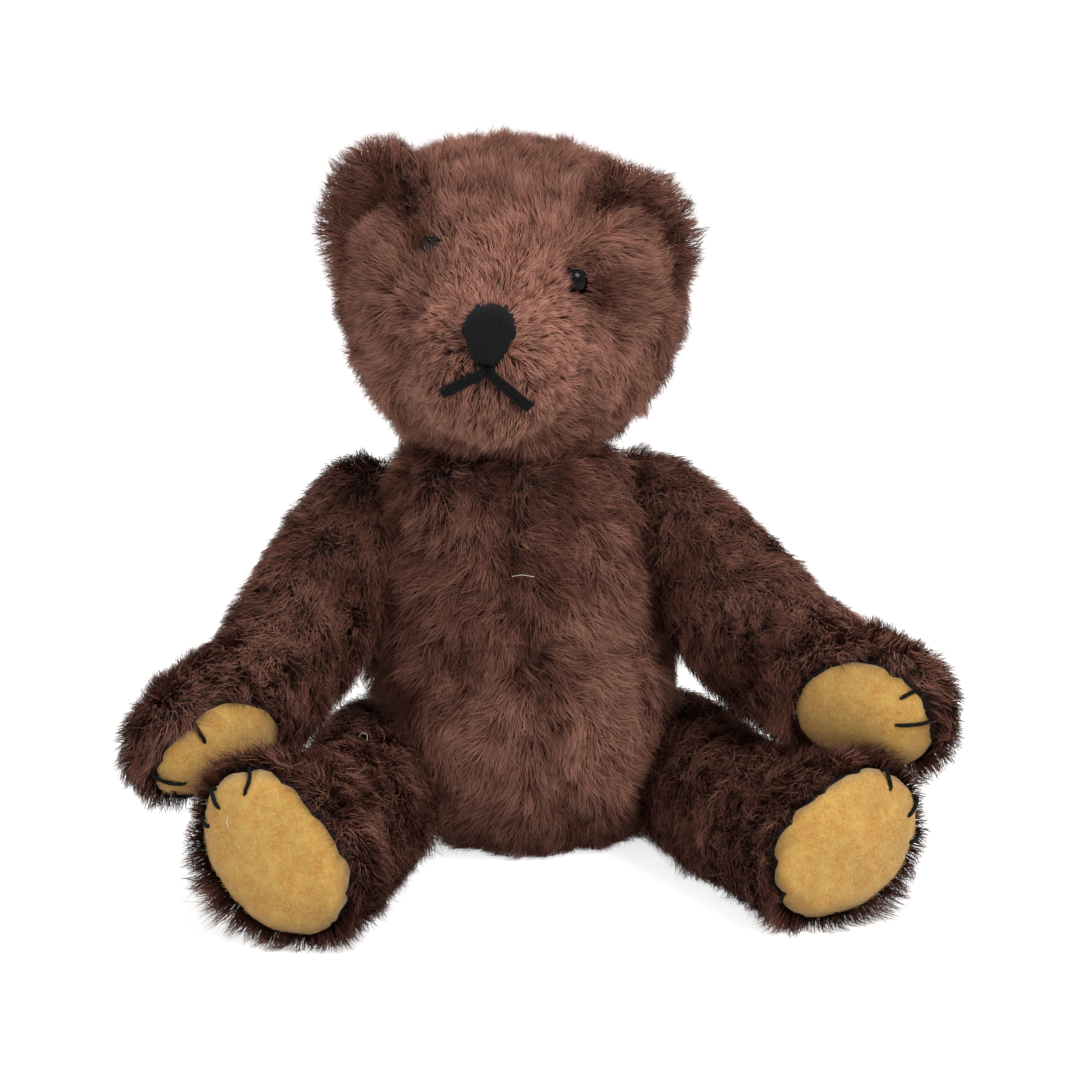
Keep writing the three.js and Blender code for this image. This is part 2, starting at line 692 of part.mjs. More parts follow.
// The limb is flat where it lies on the body's seat, and on the floor
function limbSolid(limb, joint, offset, segments, rings) {
  const solid = solidOf(limbShape(limb, offset, segments, rings));
  const seat = roundBar(joint, LIMB_SEAT_RADIUS, -40, JOINT_GAP / 2 - Math.min(offset, 0), 16);
  return solid.subtract(seat).subtract(beyond(FLOOR, Math.min(offset, 0)));
}

// A column that cuts the felt out of the cover, standing on the limb's surface
function padColumn(outline, at, out, along, from) {
  const options = { depth: PAD_COLUMN, bevelEnabled: false, curveSegments: 7 };
  const column = new THREE.ExtrudeGeometry(outline, options);
  column.translate(0, 0, from);
  const z = out.clone().normalize();
  const y = along.clone().addScaledVector(z, -along.dot(z)).normalize();
  const x = new THREE.Vector3().crossVectors(y, z);
  column.applyMatrix4(new THREE.Matrix4().makeBasis(x, y, z).setPosition(at));
  return solidOf(column);
}

function ovalOutline(across, along, grow) {
  const outline = new THREE.Shape();
  outline.absellipse(0, 0, across + grow, along + grow, 0, Math.PI * 2);
  return outline;
}

function buildLimb(name, limb, joint, padName, column) {
  const outside = limbSolid(limb, joint, 0, ...LIMB_MESH);
  const inside = limbSolid(limb, joint, -CLOTH, ...LIMB_INSIDE_MESH);
  const cover = pinHoles(outside.subtract(inside), [joint]);
  add(`${name}_${padName}`, largest(cover.intersect(column(0))), felt());
  const panels = cover.subtract(column(GAP));
  add(`${name}_inner_panel`, largest(panels.intersect(innerHalf(limb, GAP / 2))), cloth());
  add(`${name}_outer_panel`, largest(panels.subtract(innerHalf(limb, -GAP / 2))), cloth());
  const stuffing = pocketed(limbSolid(limb, joint, -STUFFING_GAP, ...LIMB_INSIDE_MESH), joint, false);
  add(`${name}_stuffing`, largest(stuffing), woodWool());
  addDisc(`${name}_disc`, joint, false);
  addPin(`${name}_pin`, joint);
}

const CLAW_STEPS = 4;

// A claw: a straight stitch over the limb's surface, from one place on it to another
function addClaw(name, limb, from, to) {
  const points = [];
  for (let i = 0; i <= CLAW_STEPS; i += 1) {
    const share = THREE.MathUtils.lerp(from[0], to[0], i / CLAW_STEPS);
    const angle = THREE.MathUtils.lerp(from[1], to[1], i / CLAW_STEPS);
    points.push(limbPoint(limb, share, THREE.MathUtils.degToRad(angle), GAP + THREAD * 0.75));
  }
  add(name, solidOf(strand(points, THREAD, CLAW_STEPS)), thread());
}

function buildArm(side, spec, joint, claws) {
  const arm = prepared(spec);
  const { inner, along } = limbFrame(arm, PAW_PAD.at);
  const middle = arm.path.getPoint(PAW_PAD.at);
  const oval = (grow) => ovalOutline(PAW_PAD.across, PAW_PAD.along, grow);
  const column = (grow) => padColumn(oval(grow), middle, inner, along, PAW_PAD.from);
  buildLimb(`arm_${side}`, arm, joint, 'paw_pad', column);
  claws.forEach(([from, to], i) => addClaw(`arm_${side}_claw_${i + 1}`, arm, from, to));
}

function buildLeg(side, spec, joint, claws) {
  const leg = prepared(spec);
  const { along, across } = limbFrame(leg, 1);
  const middle = leg.path.getPoint(1);
  const oval = (grow) => ovalOutline(SOLE.across, SOLE.along, grow);
  const column = (grow) => padColumn(oval(grow), middle, along, across, -SOLE_DEPTH);
  buildLimb(`leg_${side}`, leg, joint, 'sole', column);
  claws.forEach(([from, to], i) => addClaw(`leg_${side}_claw_${i + 1}`, leg, from, to));
}

buildBody();
buildHead();
buildArm('left', ARM_LEFT, SHOULDER_LEFT, [
  [[0.92, 28], [0.975, 90]],
  [[0.905, 4], [0.985, 14]],
  [[0.885, -17], [0.915, -52]],
]);
buildArm('right', ARM_RIGHT, SHOULDER_RIGHT, [
  [[0.9, -68], [0.878, -24]],
  [[0.985, 12], [0.955, 28]],
  [[0.94, 32], [0.87, 36]],
]);
buildLeg('left', LEG_LEFT, HIP_LEFT, [
  [[0.95, 44], [0.987, 52]],
  [[0.972, 88], [0.992, 94]],
  [[0.965, 118], [0.987, 130]],
]);
buildLeg('right', LEG_RIGHT, HIP_RIGHT, [
  [[0.965, -94], [0.99, -96]],
  [[0.95, -48], [0.99, -62]],
  [[0.965, -120], [0.985, -124]],
]);

export default bear;
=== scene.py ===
"""A jointed teddy bear of brown pile cloth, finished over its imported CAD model."""

import functools
import json
import math

import bmesh
import bpy
import numpy as np
from bpy.props import FloatProperty, FloatVectorProperty, IntProperty, PointerProperty
from mathutils import Matrix, Vector
from mathutils.bvhtree import BVHTree
from mathutils.kdtree import KDTree

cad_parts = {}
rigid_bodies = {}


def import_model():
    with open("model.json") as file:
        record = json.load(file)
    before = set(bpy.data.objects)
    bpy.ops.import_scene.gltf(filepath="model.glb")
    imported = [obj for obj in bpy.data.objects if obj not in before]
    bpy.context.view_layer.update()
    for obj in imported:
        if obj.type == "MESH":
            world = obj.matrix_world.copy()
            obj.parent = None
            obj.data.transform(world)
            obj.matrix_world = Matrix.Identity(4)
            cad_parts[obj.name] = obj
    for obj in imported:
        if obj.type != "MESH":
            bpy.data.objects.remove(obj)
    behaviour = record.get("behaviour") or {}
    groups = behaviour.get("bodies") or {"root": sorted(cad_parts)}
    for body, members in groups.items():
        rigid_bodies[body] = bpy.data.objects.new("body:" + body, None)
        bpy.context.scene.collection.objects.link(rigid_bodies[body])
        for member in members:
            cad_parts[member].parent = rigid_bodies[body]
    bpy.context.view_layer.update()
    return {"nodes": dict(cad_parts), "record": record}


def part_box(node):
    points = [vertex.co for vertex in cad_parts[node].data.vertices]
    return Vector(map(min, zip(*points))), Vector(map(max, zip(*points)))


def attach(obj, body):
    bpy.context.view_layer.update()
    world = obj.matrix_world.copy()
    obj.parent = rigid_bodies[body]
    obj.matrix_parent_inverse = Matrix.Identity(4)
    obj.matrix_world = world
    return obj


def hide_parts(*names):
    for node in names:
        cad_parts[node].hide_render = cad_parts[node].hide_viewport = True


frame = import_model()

bl_info = {
    "name": "Jointed teddy bear",
    "version": (1, 0, 0),
    "blender": (4, 5, 0),
    "location": "View3D > Sidebar > Bear",
    "description": "Covers, pile, felt pads and stitching of a jointed teddy bear",
    "category": "Object",
}

MM = 0.001
MEMBERS = frame["record"]["behaviour"]["bodies"]
LIMBS = ("arm_left", "arm_right", "leg_left", "leg_right")
COVERED = ("torso", "head") + LIMBS
FLOOR_GAP = 0.2 * MM

# The head's own frame: it stands on the neck joint, rolled and turned.
NECK = Vector((-8, 0, 104)) * MM
NECK_OUT = Vector((0.07, 0, 1)).normalized()
HEAD_FRAME = (
    Matrix.Translation(NECK + NECK_OUT * MM)
    @ Matrix.Rotation(math.radians(4.5), 4, "Y")
    @ Matrix.Rotation(math.radians(-11), 4, "Z")
)
SKULL = np.array([0, 2, 38]) * MM
EARS = {
    "ear_left": np.array([31, -15, 58.5]) * MM,
    "ear_right": np.array([-34.5, -16.5, 58.5]) * MM,
}

# The middle line of each limb, from its joint to its end, in millimetres.
LIMB_LINES = {
    "arm_left": [(29, 11.5, 98.5), (41.5, -6, 75), (62, -38, 54.5), (83, -66, 49), (100, -86, 49)],
    "arm_right": [(-40, 11.5, 98), (-51, -5.5, 72.5), (-70, -35, 50.5), (-90.5, -59, 43), (-109, -73, 38)],
    "leg_left": [(34.8, 24, 17.5), (42.7, -14, 17.5), (55.5, -60, 18), (64, -77, 19.5), (74, -100, 21)],
    "leg_right": [(-33.8, 24, 17.5), (-43.2, -14, 17.5), (-57, -60, 18.5), (-65, -79.5, 22), (-76, -105, 24)],
}

# The front middle seam of the torso: how far to the side it is at each height, in millimetres.
SEAM_HEIGHTS = (0, 15, 31, 58, 84, 105)
SEAM_SIDES = (11, 7.3, 1.7, -2.8, -9.7, -9.3)

# Each felt pad: its middle, the way it faces, its long way, its half sizes across and along,
# and the width and length of its flat cut, in millimetres.
PADS = {
    "arm_left_paw_pad": (
        (81.7, -64.6, 49), (-0.7, -0.63, -0.336), (0.666, -0.746, 0.012),
        (15, 19.5), (35, 40),
    ),
    "arm_right_paw_pad": (
        (-89.2, -57.8, 43.3), (0.653, -0.553, -0.518), (-0.716, -0.673, -0.184),
        (15, 19.5), (35, 40),
    ),
    "leg_left_sole": (
        (70, -90.5, 20.5), (0.405, -0.912, 0.068), (0.805, 0.391, 0.447),
        (15.8, 23.5), (33, 47),
    ),
    "leg_right_sole": (
        (-72, -93.5, 23.5), (-0.445, -0.89, 0.095), (0.595, -0.374, -0.712),
        (15.8, 23.5), (33, 47),
    ),
}

# The claws of each limb: the inner end, the middle and the outer end of each stitch.
CLAWS = {
    "arm_left": [
        ((81.3, -77.8, 53.4), (85.7, -77.5, 55.7), (90.6, -74.4, 57.5)),
        ((79.8, -77.5, 47.6), (85.7, -78.3, 48.1), (92.7, -76.6, 49.5)),
        ((78.7, -73.7, 41.6), (80, -73.5, 40), (81.9, -71.7, 37.8)),
    ],
    "arm_right": [
        ((-85.5, -69.7, 45), (-87.6, -70.8, 49.1), (-89.7, -69.4, 52)),
        ((-89.3, -67.4, 35.6), (-95, -67.8, 36.4), (-98.7, -67.9, 39.2)),
        ((-87.7, -61.4, 29.5), (-90.8, -63.7, 30.2), (-93.9, -65.6, 31.7)),
    ],
    "leg_left": [
        ((78.2, -84.3, 31.9), (78, -82.2, 35.9), (77.4, -80.4, 38.4)),
        ((82.2, -83.1, 25.5), (84.8, -81.4, 28), (86.4, -79.4, 31)),
        ((83.4, -82.7, 19.1), (85.6, -81.4, 20.1), (87.6, -79.8, 21.6)),
    ],
    "leg_right": [
        ((-81.4, -85.8, 32.7), (-83.7, -83.8, 35.9), (-85.2, -81.4, 38.4)),
        ((-76.5, -88.1, 35.9), (-75.2, -87.9, 39.9), (-74.6, -82.9, 42.8)),
        ((-84.3, -84.6, 28.5), (-86.2, -83.2, 29.4), (-87.4, -81.6, 30.4)),
    ],
}

# Where the pile is painted paler (above zero) or darker: the place, how wide, and how much. The pale
# patches are worn pile and painted highlight where the pile lies the other way; the dark ones are painted
# shade, round the eyes, by the ears and under the chin.
TONES = {
    "head": [
        ((-17, -21, 171), 7, -0.2), ((6, -29, 152), 7, -0.12), ((16, -29, 149), 9, -0.24),
        ((-10, -40, 157), 10, 0.2), ((2, -42, 137), 11, 0.36), ((17, -27, 130), 12, 0.3),
        ((-29, -31, 136), 8, -0.12), ((-31, -25, 147), 5, 0.12), ((-23, -38, 117), 6, 0.24),
        ((-9, -49, 118), 7, 0.26), ((-16.5, -52, 121), 2.6, -0.4), ((-36, -16, 158), 6, 0.1),
    ],
    "torso": [
        ((-17, -27, 91), 6, 0.14), ((18, -24, 64), 12, 0.2), ((18, -28, 36), 12, 0.2),
        ((-11, -32, 42), 11, 0.16), ((0, -27, 97), 9, -0.16), ((4, -30, 75), 9, -0.1),
        ((-29, -19, 44), 8, -0.14),
    ],
}

# Pale lint caught in the pile: the body it lies on, and its points in millimetres.
LINT = {
    "chest": ("torso", [(-8.5, -38.5, 78), (-6, -39.5, 78.6), (-3, -39, 77.9)]),
    "thigh": ("leg_right", [(-47, -34, 36.5), (-46, -34.6, 38), (-44.6, -34.4, 37.4), (-44.8, -34.6, 35.8)]),
    "sole": ("leg_right", [(-80.5, -92.4, 30.4), (-80.9, -92.6, 31.8), (-80.6, -92.5, 33.2)]),
}


def color(red, green, blue):
    """A colour from 0 to 255, as the shader wants it."""
    parts = [x / 255 for x in (red, green, blue)]
    return [x / 12.92 if x <= 0.04045 else ((x + 0.055) / 1.055) ** 2.4 for x in parts]


# ---------------------------------------------------------------- settings


class BearCoverSettings(bpy.types.PropertyGroup):
    """The stuffed covers under the pile."""

    voxel: FloatProperty(
        name="Mesh size", description="Size of the cover's facets before it is smoothed",
        default=3 * MM, min=1 * MM, max=8 * MM, unit="LENGTH",
    )
    ear_voxel: FloatProperty(
        name="Ear mesh size", description="Size of the ears' facets before they are smoothed",
        default=1.3 * MM, min=0.5 * MM, max=4 * MM, unit="LENGTH",
    )
    pressure: FloatProperty(
        name="Stuffing pressure", description="How hard the stuffing pushes the cloth out",
        default=4, min=0, max=20,
    )
    swell: FloatProperty(
        name="Most swelling", description="How far the stuffing may push the cloth out",
        default=1.2 * MM, min=0, max=5 * MM, unit="LENGTH",
    )
    backing: FloatVectorProperty(
        name="Backing colour", description="Colour of the woven backing",
        default=color(40, 21, 16), size=3, min=0, max=1, subtype="COLOR",
    )


class BearPileSettings(bpy.types.PropertyGroup):
    """The mohair pile."""

    density: FloatProperty(
        name="Tufts per square millimetre", description="How many tufts stand on the cloth",
        default=5.4, min=0.1, max=12,
    )
    length: FloatProperty(
        name="Pile length", description="Length of the pile on the torso",
        default=7.6 * MM, min=1 * MM, max=20 * MM, unit="LENGTH",
    )
    width: FloatProperty(
        name="Tuft width", description="Width of one tuft at its root",
        default=0.2 * MM, min=0.05 * MM, max=2 * MM, unit="LENGTH",
    )
    lock: FloatProperty(
        name="Lock size", description="Distance between the locks that the tufts gather in",
        default=2.7 * MM, min=0.5 * MM, max=20 * MM, unit="LENGTH",
    )
    seed: IntProperty(name="Seed", description="Where the tufts stand", default=7, min=0)


class BearFeltSettings(bpy.types.PropertyGroup):
    """The felt pads."""

    thickness: FloatProperty(
        name="Felt thickness", description="Thickness of the felt",
        default=1.2 * MM, min=0.3 * MM, max=4 * MM, unit="LENGTH",
    )
    felt: FloatVectorProperty(
        name="Felt colour", description="Main colour of the felt",
        default=color(214, 173, 90), size=3, min=0, max=1, subtype="COLOR",
    )
    mottle: FloatVectorProperty(
        name="Mottle colour", description="Colour of the felt's warmer patches",
        default=color(205, 147, 70), size=3, min=0, max=1, subtype="COLOR",
    )


class BearThreadSettings(bpy.types.PropertyGroup):
    """The black stitching."""

    claw: FloatProperty(
        name="Claw thread", description="Thickness of the claw thread",
        default=1.05 * MM, min=0.3 * MM, max=4 * MM, unit="LENGTH",
    )
    mouth: FloatProperty(
        name="Mouth thread", description="Thickness of one mouth thread",
        default=1.05 * MM, min=0.3 * MM, max=4 * MM, unit="LENGTH",
    )
    nose: FloatProperty(
        name="Nose thread", description="Thickness of one stitch of the nose",
        default=0.78 * MM, min=0.3 * MM, max=4 * MM, unit="LENGTH",
    )
    thread: FloatVectorProperty(
        name="Thread colour", description="Colour of the thread",
        default=color(11, 11, 11), size=3, min=0, max=1, subtype="COLOR",
    )


class BearStageSettings(bpy.types.PropertyGroup):
    """The floor, the lamps and the camera."""

    key: FloatProperty(
        name="Main lamp", description="Power of the main lamp",
        default=16, min=0, max=500, unit="POWER",
    )
    fill: FloatProperty(
        name="Fill lamp", description="Power of the fill lamp",
        default=4, min=0, max=500, unit="POWER",
    )
    top: FloatProperty(
        name="Top lamp", description="Power of the lamp above",
        default=6.2, min=0, max=500, unit="POWER",
    )
    surround: FloatProperty(
        name="Surround", description="Light from all round",
        default=0.5, min=0, max=5,
    )


# ---------------------------------------------------------------- small tools


def unit(vectors):
    """The rows of an array, each one unit long."""
    return vectors / np.maximum(np.linalg.norm(vectors, axis=-1, keepdims=True), 1e-9)


def ease(value, low, high):
    """0 below low, 1 above high, and smooth between them."""
    share = np.clip((value - low) / (high - low), 0, 1)
    return share * share * (3 - 2 * share)


def waves(points, size, seed, count=16):
    """A smooth field that swings between about -1 and 1 over that size."""
    chance = np.random.default_rng(seed)
    total = np.zeros(len(points))
    for way in unit(chance.normal(size=(count, 3))):
        rate = 2 * math.pi / size * chance.uniform(0.6, 1.5)
        total += np.sin(points @ way * rate + chance.uniform(0, 2 * math.pi))
    return total / math.sqrt(count / 2)


def head_local(points):
    """Points in the head's own frame."""
    back = np.array(HEAD_FRAME.inverted())
    return points @ back[:3, :3].T + back[:3, 3]


def head_world(directions):
    """Directions of the head's own frame, in the row frame."""
    return directions @ np.array(HEAD_FRAME)[:3, :3].T


def points_of(mesh):
    """A mesh's vertices as an array."""
    points = np.zeros(len(mesh.vertices) * 3, np.float32)
    mesh.vertices.foreach_get("co", points)
    return points.reshape(-1, 3).astype(float)


def tree_of(names):
    """A search tree over CAD nodes."""
    vertices, faces = [], []
    for name in names:
        mesh = frame["nodes"][name].data
        start = len(vertices)
        vertices += [v.co for v in mesh.vertices]
        faces += [[start + i for i in p.vertices] for p in mesh.polygons]
    return BVHTree.FromPolygons(vertices, faces)


def surface_tree(piece):
    """A search tree over a piece's mesh."""
    mesh = piece.data
    return BVHTree.FromPolygons(
        [v.co for v in mesh.vertices], [tuple(p.vertices) for p in mesh.polygons]
    )


def distances(points, tree, limit):
    """How far each point is from a tree's surface, up to that limit."""
    found = (tree.find_nearest(p, limit)[3] for p in points)
    return np.array([limit if d is None else d for d in found])


def new_piece(name, mesh):
    """A new object in the scene."""
    piece = bpy.data.objects.new(name, mesh)
    bpy.context.scene.collection.objects.link(piece)
    return piece


def mesh_of(shape, name):
    """A bmesh as a smooth mesh. The bmesh is freed."""
    mesh = bpy.data.meshes.new(name)
    shape.to_mesh(mesh)
    shape.free()
    mesh.shade_smooth()
    return mesh


def apply_modifiers(piece):
    """Puts a piece's modifiers into its mesh."""
    graph = bpy.context.evaluated_depsgraph_get()
    done = bpy.data.meshes.new_from_object(piece.evaluated_get(graph))
    piece.modifiers.clear()
    old, piece.data = piece.data, done
    bpy.data.meshes.remove(old)
    done.name = piece.name
    done.shade_smooth()


def finish_piece(piece, material, slot, body, *nodes):
    """Gives a piece its material and its body, and hides the nodes that it stands for. The slot is not used.
    """
    piece.data.materials.clear()
    piece.data.materials.append(material)
    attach(piece, body)
    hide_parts(*nodes)


# ---------------------------------------------------------------- materials


class Finish:
    """A material with one Principled shader, and short ways to add nodes to it."""

    def __init__(self, name, roughness=0.8, **sockets):
        self.material = bpy.data.materials.new(name)
        self.material.use_nodes = True
        self.nodes = self.material.node_tree.nodes
        self.links = self.material.node_tree.links
        self.shader = self.nodes["Principled BSDF"]
        self.shader.inputs["Roughness"].default_value = roughness
        for socket, value in sockets.items():
            self.shader.inputs[socket.replace("_", " ")].default_value = value

    def node(self, kind, inputs=(), **settings):
        """A new node, with its settings and its inputs, which are numbers or sockets."""
        made = self.nodes.new(kind)
        for name, value in settings.items():
            setattr(made, name, value)
        for socket, value in dict(inputs).items():
            if isinstance(value, bpy.types.NodeSocket):
                self.links.new(value, made.inputs[socket])
            else:
                made.inputs[socket].default_value = value
        return made

    def place(self, scale=(1, 1, 1)):
        """The piece's own coordinates."""
        coordinates = self.node("ShaderNodeTexCoord")
        mapping = self.node("ShaderNodeMapping", {0: coordinates.outputs["Object"]})
        mapping.inputs["Scale"].default_value = scale
        return mapping.outputs[0]

    def noise(self, scale, detail=3, where=None, roughness=0.55):
        """Cloudy noise."""
        made = self.node(
            "ShaderNodeTexNoise",
            {"Vector": where or self.place(), "Scale": scale, "Detail": detail, "Roughness": roughness},
        )
        return made.outputs["Fac"]

    def ramp(self, value, stops):
        """A colour ramp with (place, colour) stops."""
        made = self.node("ShaderNodeValToRGB", {"Fac": value})
        stretch = made.color_ramp
        while len(stretch.elements) < len(stops):
            stretch.elements.new(0.5)
        for element, (place, shade) in zip(stretch.elements, stops):
            element.position, element.color = place, [*shade, 1]
        return made.outputs["Color"]

    def mix(self, share, first, second, blend="MIX"):
        """Two colours mixed."""
        made = self.node("ShaderNodeMix", {0: share}, data_type="RGBA", blend_type=blend)
        for socket, value in ((6, first), (7, second)):
            if isinstance(value, bpy.types.NodeSocket):
                self.links.new(value, made.inputs[socket])
            else:
                made.inputs[socket].default_value = [*value, 1]
        return made.outputs[2]

    def bump(self, height, strength, distance):
        """Small relief on the surface."""
        made = self.node(
            "ShaderNodeBump", {"Height": height, "Strength": strength, "Distance": distance}
        )
        self.links.new(made.outputs[0], self.shader.inputs["Normal"])

    def paint(self, shade):
        """The surface's colour, and the material."""
        self.links.new(shade, self.shader.inputs["Base Color"])
        return self.material


def pile_finish():
    """Mohair along the strand's own map: dark at the root, painted shade of the pile's depth, and paler at
    the tip, part the fibre's own colour and part painted sheen.
    """
    pile = Finish("mohair_pile", 0.78)
    pile.shader.inputs["Specular IOR Level"].default_value = 0.16
    place = pile.node("ShaderNodeUVMap", uv_map="OFBake").outputs[0]
    axes = pile.node("ShaderNodeSeparateXYZ", {0: place})
    along, shade = axes.outputs[0], axes.outputs[1]
    # Both ramps run from painted shade at the root to the tip's own colour with painted sheen.
    dark = pile.ramp(along, [
        (0.0, color(24, 11, 8)), (0.45, color(64, 33, 25)),
        (0.8, color(92, 53, 42)), (1.0, color(120, 76, 63)),
    ])
    pale = pile.ramp(along, [
        (0.0, color(76, 40, 31)), (0.45, color(152, 97, 80)),
        (0.8, color(200, 144, 124)), (1.0, color(226, 178, 160)),
    ])
    # The second axis mixes the dark and the pale ramp: the pile's own tone with the painted highlight and
    # shade that the rules give it.
    return pile.paint(pile.mix(shade, dark, pale))


def backing_finish():
    """The woven backing that the pile stands on."""
    backing = Finish("pile_backing", 0.9)
    cloth = bpy.context.scene.bear_cover
    weave = backing.node(
        "ShaderNodeTexWave", {"Vector": backing.place(), "Scale": 700, "Distortion": 1.5}
    ).outputs["Fac"]
    backing.bump(weave, 0.3, 0.2 * MM)
    worn = backing.noise(180)
    return backing.paint(backing.mix(worn, [x * 0.6 for x in cloth.backing], cloth.backing))


def felt_finish():
    """Wool felt, mottled and matted."""
    settings = bpy.context.scene.bear_felt
    felt = Finish("wool_felt", 0.92, Sheen_Weight=0.25, Sheen_Roughness=0.6)
    felt.shader.inputs["Specular IOR Level"].default_value = 0.2
    clouds = felt.ramp(felt.noise(260, 6, roughness=0.7), [(0.38, settings.mottle), (0.6, settings.felt)])
    specks = felt.noise(1500, 4, roughness=0.7)
    pale = [min(1, x * 1.22 + 0.02) for x in settings.felt]
    speckled = felt.mix(felt.ramp(specks, [(0.5, (0, 0, 0)), (0.68, (0.7, 0.7, 0.7))]), clouds, pale)
    worn = felt.ramp(felt.noise(90, 3), [(0.35, (0.86, 0.86, 0.86)), (0.65, (1, 1, 1))])
    fibres = felt.noise(900, 8, roughness=0.75)
    felt.bump(fibres, 0.75, 0.5 * MM)
    return felt.paint(felt.mix(1.0, speckled, worn, "MULTIPLY"))


def thread_finish():
    """Matte black cotton thread."""
    shade = list(bpy.context.scene.bear_thread.thread)
    thread = Finish("black_thread", 0.75)
    thread.shader.inputs["Specular IOR Level"].default_value = 0.15
    fuzz = thread.noise(2500, 4)
    thread.bump(fuzz, 0.35, 0.1 * MM)
    return thread.paint(thread.mix(fuzz, [x * 0.55 for x in shade], [x * 1.5 for x in shade]))


def eye_finish():
    """Dark glass, brown at depth."""
    glass = Finish("eye_glass", 0.06)
    glass.shader.inputs["Specular IOR Level"].default_value = 0.12
    depth = glass.noise(160, 2)
    return glass.paint(glass.ramp(depth, [(0.3, color(2, 2, 2)), (0.75, color(10, 6, 5))]))


def board_finish():
    """Pressed fibreboard of the joint discs."""
    board = Finish("fibreboard", 0.85)
    fibres = board.noise(700, 6, board.place((1, 1, 3)))
    board.bump(fibres, 0.4, 0.3 * MM)
    return board.paint(board.ramp(fibres, [(0.3, color(118, 84, 54)), (0.7, color(168, 130, 88))]))


def steel_finish():
    """Drawn steel wire of the cotter pins."""
    steel = Finish("pin_steel", 0.34, Metallic=1.0)
    scratches = steel.noise(900, 4, steel.place((1, 6, 1)))
    steel.bump(scratches, 0.15, 0.05 * MM)
    return steel.paint(steel.ramp(scratches, [(0.3, color(120, 118, 114)), (0.7, color(176, 174, 170))]))


def lint_finish():
    """Pale cotton lint."""
    lint = Finish("lint", 0.8)
    return lint.paint(lint.ramp(lint.noise(1500), [(0.3, color(196, 186, 178)), (0.7, color(228, 222, 216))]))


@functools.cache
def once(make):
    """The material that a function makes, made the first time it is asked for."""
    return make()


# ---------------------------------------------------------------- covers


def joined(nodes, name):
    """A new object that holds copies of CAD nodes, their doubles merged."""
    shape = bmesh.new()
    for node in nodes:
        shape.from_mesh(frame["nodes"][node].data)
    bmesh.ops.remove_doubles(shape, verts=shape.verts, dist=0.002 * MM)
    return new_piece(name, mesh_of(shape, name))


def remesh(piece, voxel):
    """One closed skin of even facets round everything that the piece holds."""
    remeshing = piece.modifiers.new("skin", "REMESH")
    remeshing.mode, remeshing.voxel_size = "VOXEL", voxel
    apply_modifiers(piece)


def shells(shape):
    """The separate shells of a bmesh, each as a set of vertices."""
    left, found = set(shape.verts), []
    while left:
        shell, edge = set(), [left.pop()]
        while edge:
            vertex = edge.pop()
            shell.add(vertex)
            near = {e.other_vert(vertex) for e in vertex.link_edges} & left
            left -= near
            edge += near
        found.append(shell)
    return found


def keep_outside(shape):
    """Deletes every shell but the one that reaches furthest."""
    def reach(shell):
        sides = [[v.co[axis] for v in shell] for axis in range(3)]
        return sum(max(side) - min(side) for side in sides)

    found = sorted(shells(shape), key=reach)
    inner = [v for shell in found[:-1] for v in shell]
    if inner:
        bmesh.ops.delete(shape, geom=inner, context="VERTS")


def smoothed(piece, rounds):
    """Keeps the piece's outer shell and evens out its facets."""
    shape = bmesh.new()
    shape.from_mesh(piece.data)
    keep_outside(shape)
    for _ in range(rounds):
        bmesh.ops.smooth_vert(
            shape, verts=shape.verts, factor=0.5, use_axis_x=True, use_axis_y=True, use_axis_z=True
        )
    old, piece.data = piece.data, mesh_of(shape, piece.name)
    bpy.data.meshes.remove(old)


def back_to(piece, tree, share):
    """Moves each vertex part of the way back to a surface, after smoothing has shrunk it."""
    for vertex in piece.data.vertices:
        place = tree.find_nearest(vertex.co)[0]
        if place is not None:
            vertex.co = vertex.co.lerp(place, share)


def stuffed(piece):
    """Where the cloth goes when the stuffing presses it out, as Blender's cloth finds it."""
    settings = bpy.context.scene.bear_cover
    cloth = piece.modifiers.new("stuffing", "CLOTH")
    cloth.settings.quality = 5
    cloth.settings.use_pressure = True
    cloth.settings.uniform_pressure_force = settings.pressure
    cloth.settings.effector_weights.gravity = 0
    for number in range(1, 21):
        bpy.context.scene.frame_set(number)
    graph = bpy.context.evaluated_depsgraph_get()
    done = bpy.data.meshes.new_from_object(piece.evaluated_get(graph))
    places = points_of(done)
    bpy.data.meshes.remove(done)
    piece.modifiers.clear()
    bpy.context.scene.frame_set(1)
    return places


def swell(piece, others):
    """Presses the cover out, most in its open faces and not at all by its neighbours."""
    rest = points_of(piece.data)
    move = stuffed(piece) - rest
    far = np.linalg.norm(move, axis=1, keepdims=True)
    room = ease(distances(rest, others, 8 * MM), 1.5 * MM, 7 * MM) * ease(rest[:, 2], 1 * MM, 5 * MM)
    most = bpy.context.scene.bear_cover.swell * room[:, None]
    move *= np.minimum(1, most / np.maximum(far, 1e-9))
    piece.data.vertices.foreach_set("co", (rest + move).astype(np.float32).ravel())
    piece.data.update()


def seam_side(points):
    """How far each point is to the side of the torso's front seam."""
    heights, sides = np.array(SEAM_HEIGHTS) * MM, np.array(SEAM_SIDES) * MM
    return points[:, 0] - np.interp(points[:, 2], heights, sides)


def sink_seam(piece):
    """Draws the torso's cover in along its middle seam."""
    points, normals = points_of(piece.data), vertex_normals(piece.data)
    depth = 0.9 * MM * np.exp(-((seam_side(points) / (2.2 * MM)) ** 2))
    piece.data.vertices.foreach_set("co", (points - normals * depth[:, None]).astype(np.float32).ravel())
    piece.data.update()


def vertex_normals(mesh):
    """A mesh's smooth normals, one a vertex."""
    normals = np.zeros(len(mesh.vertices) * 3, np.float32)
    mesh.vertex_normals.foreach_get("vector", normals)
    return normals.reshape(-1, 3).astype(float)


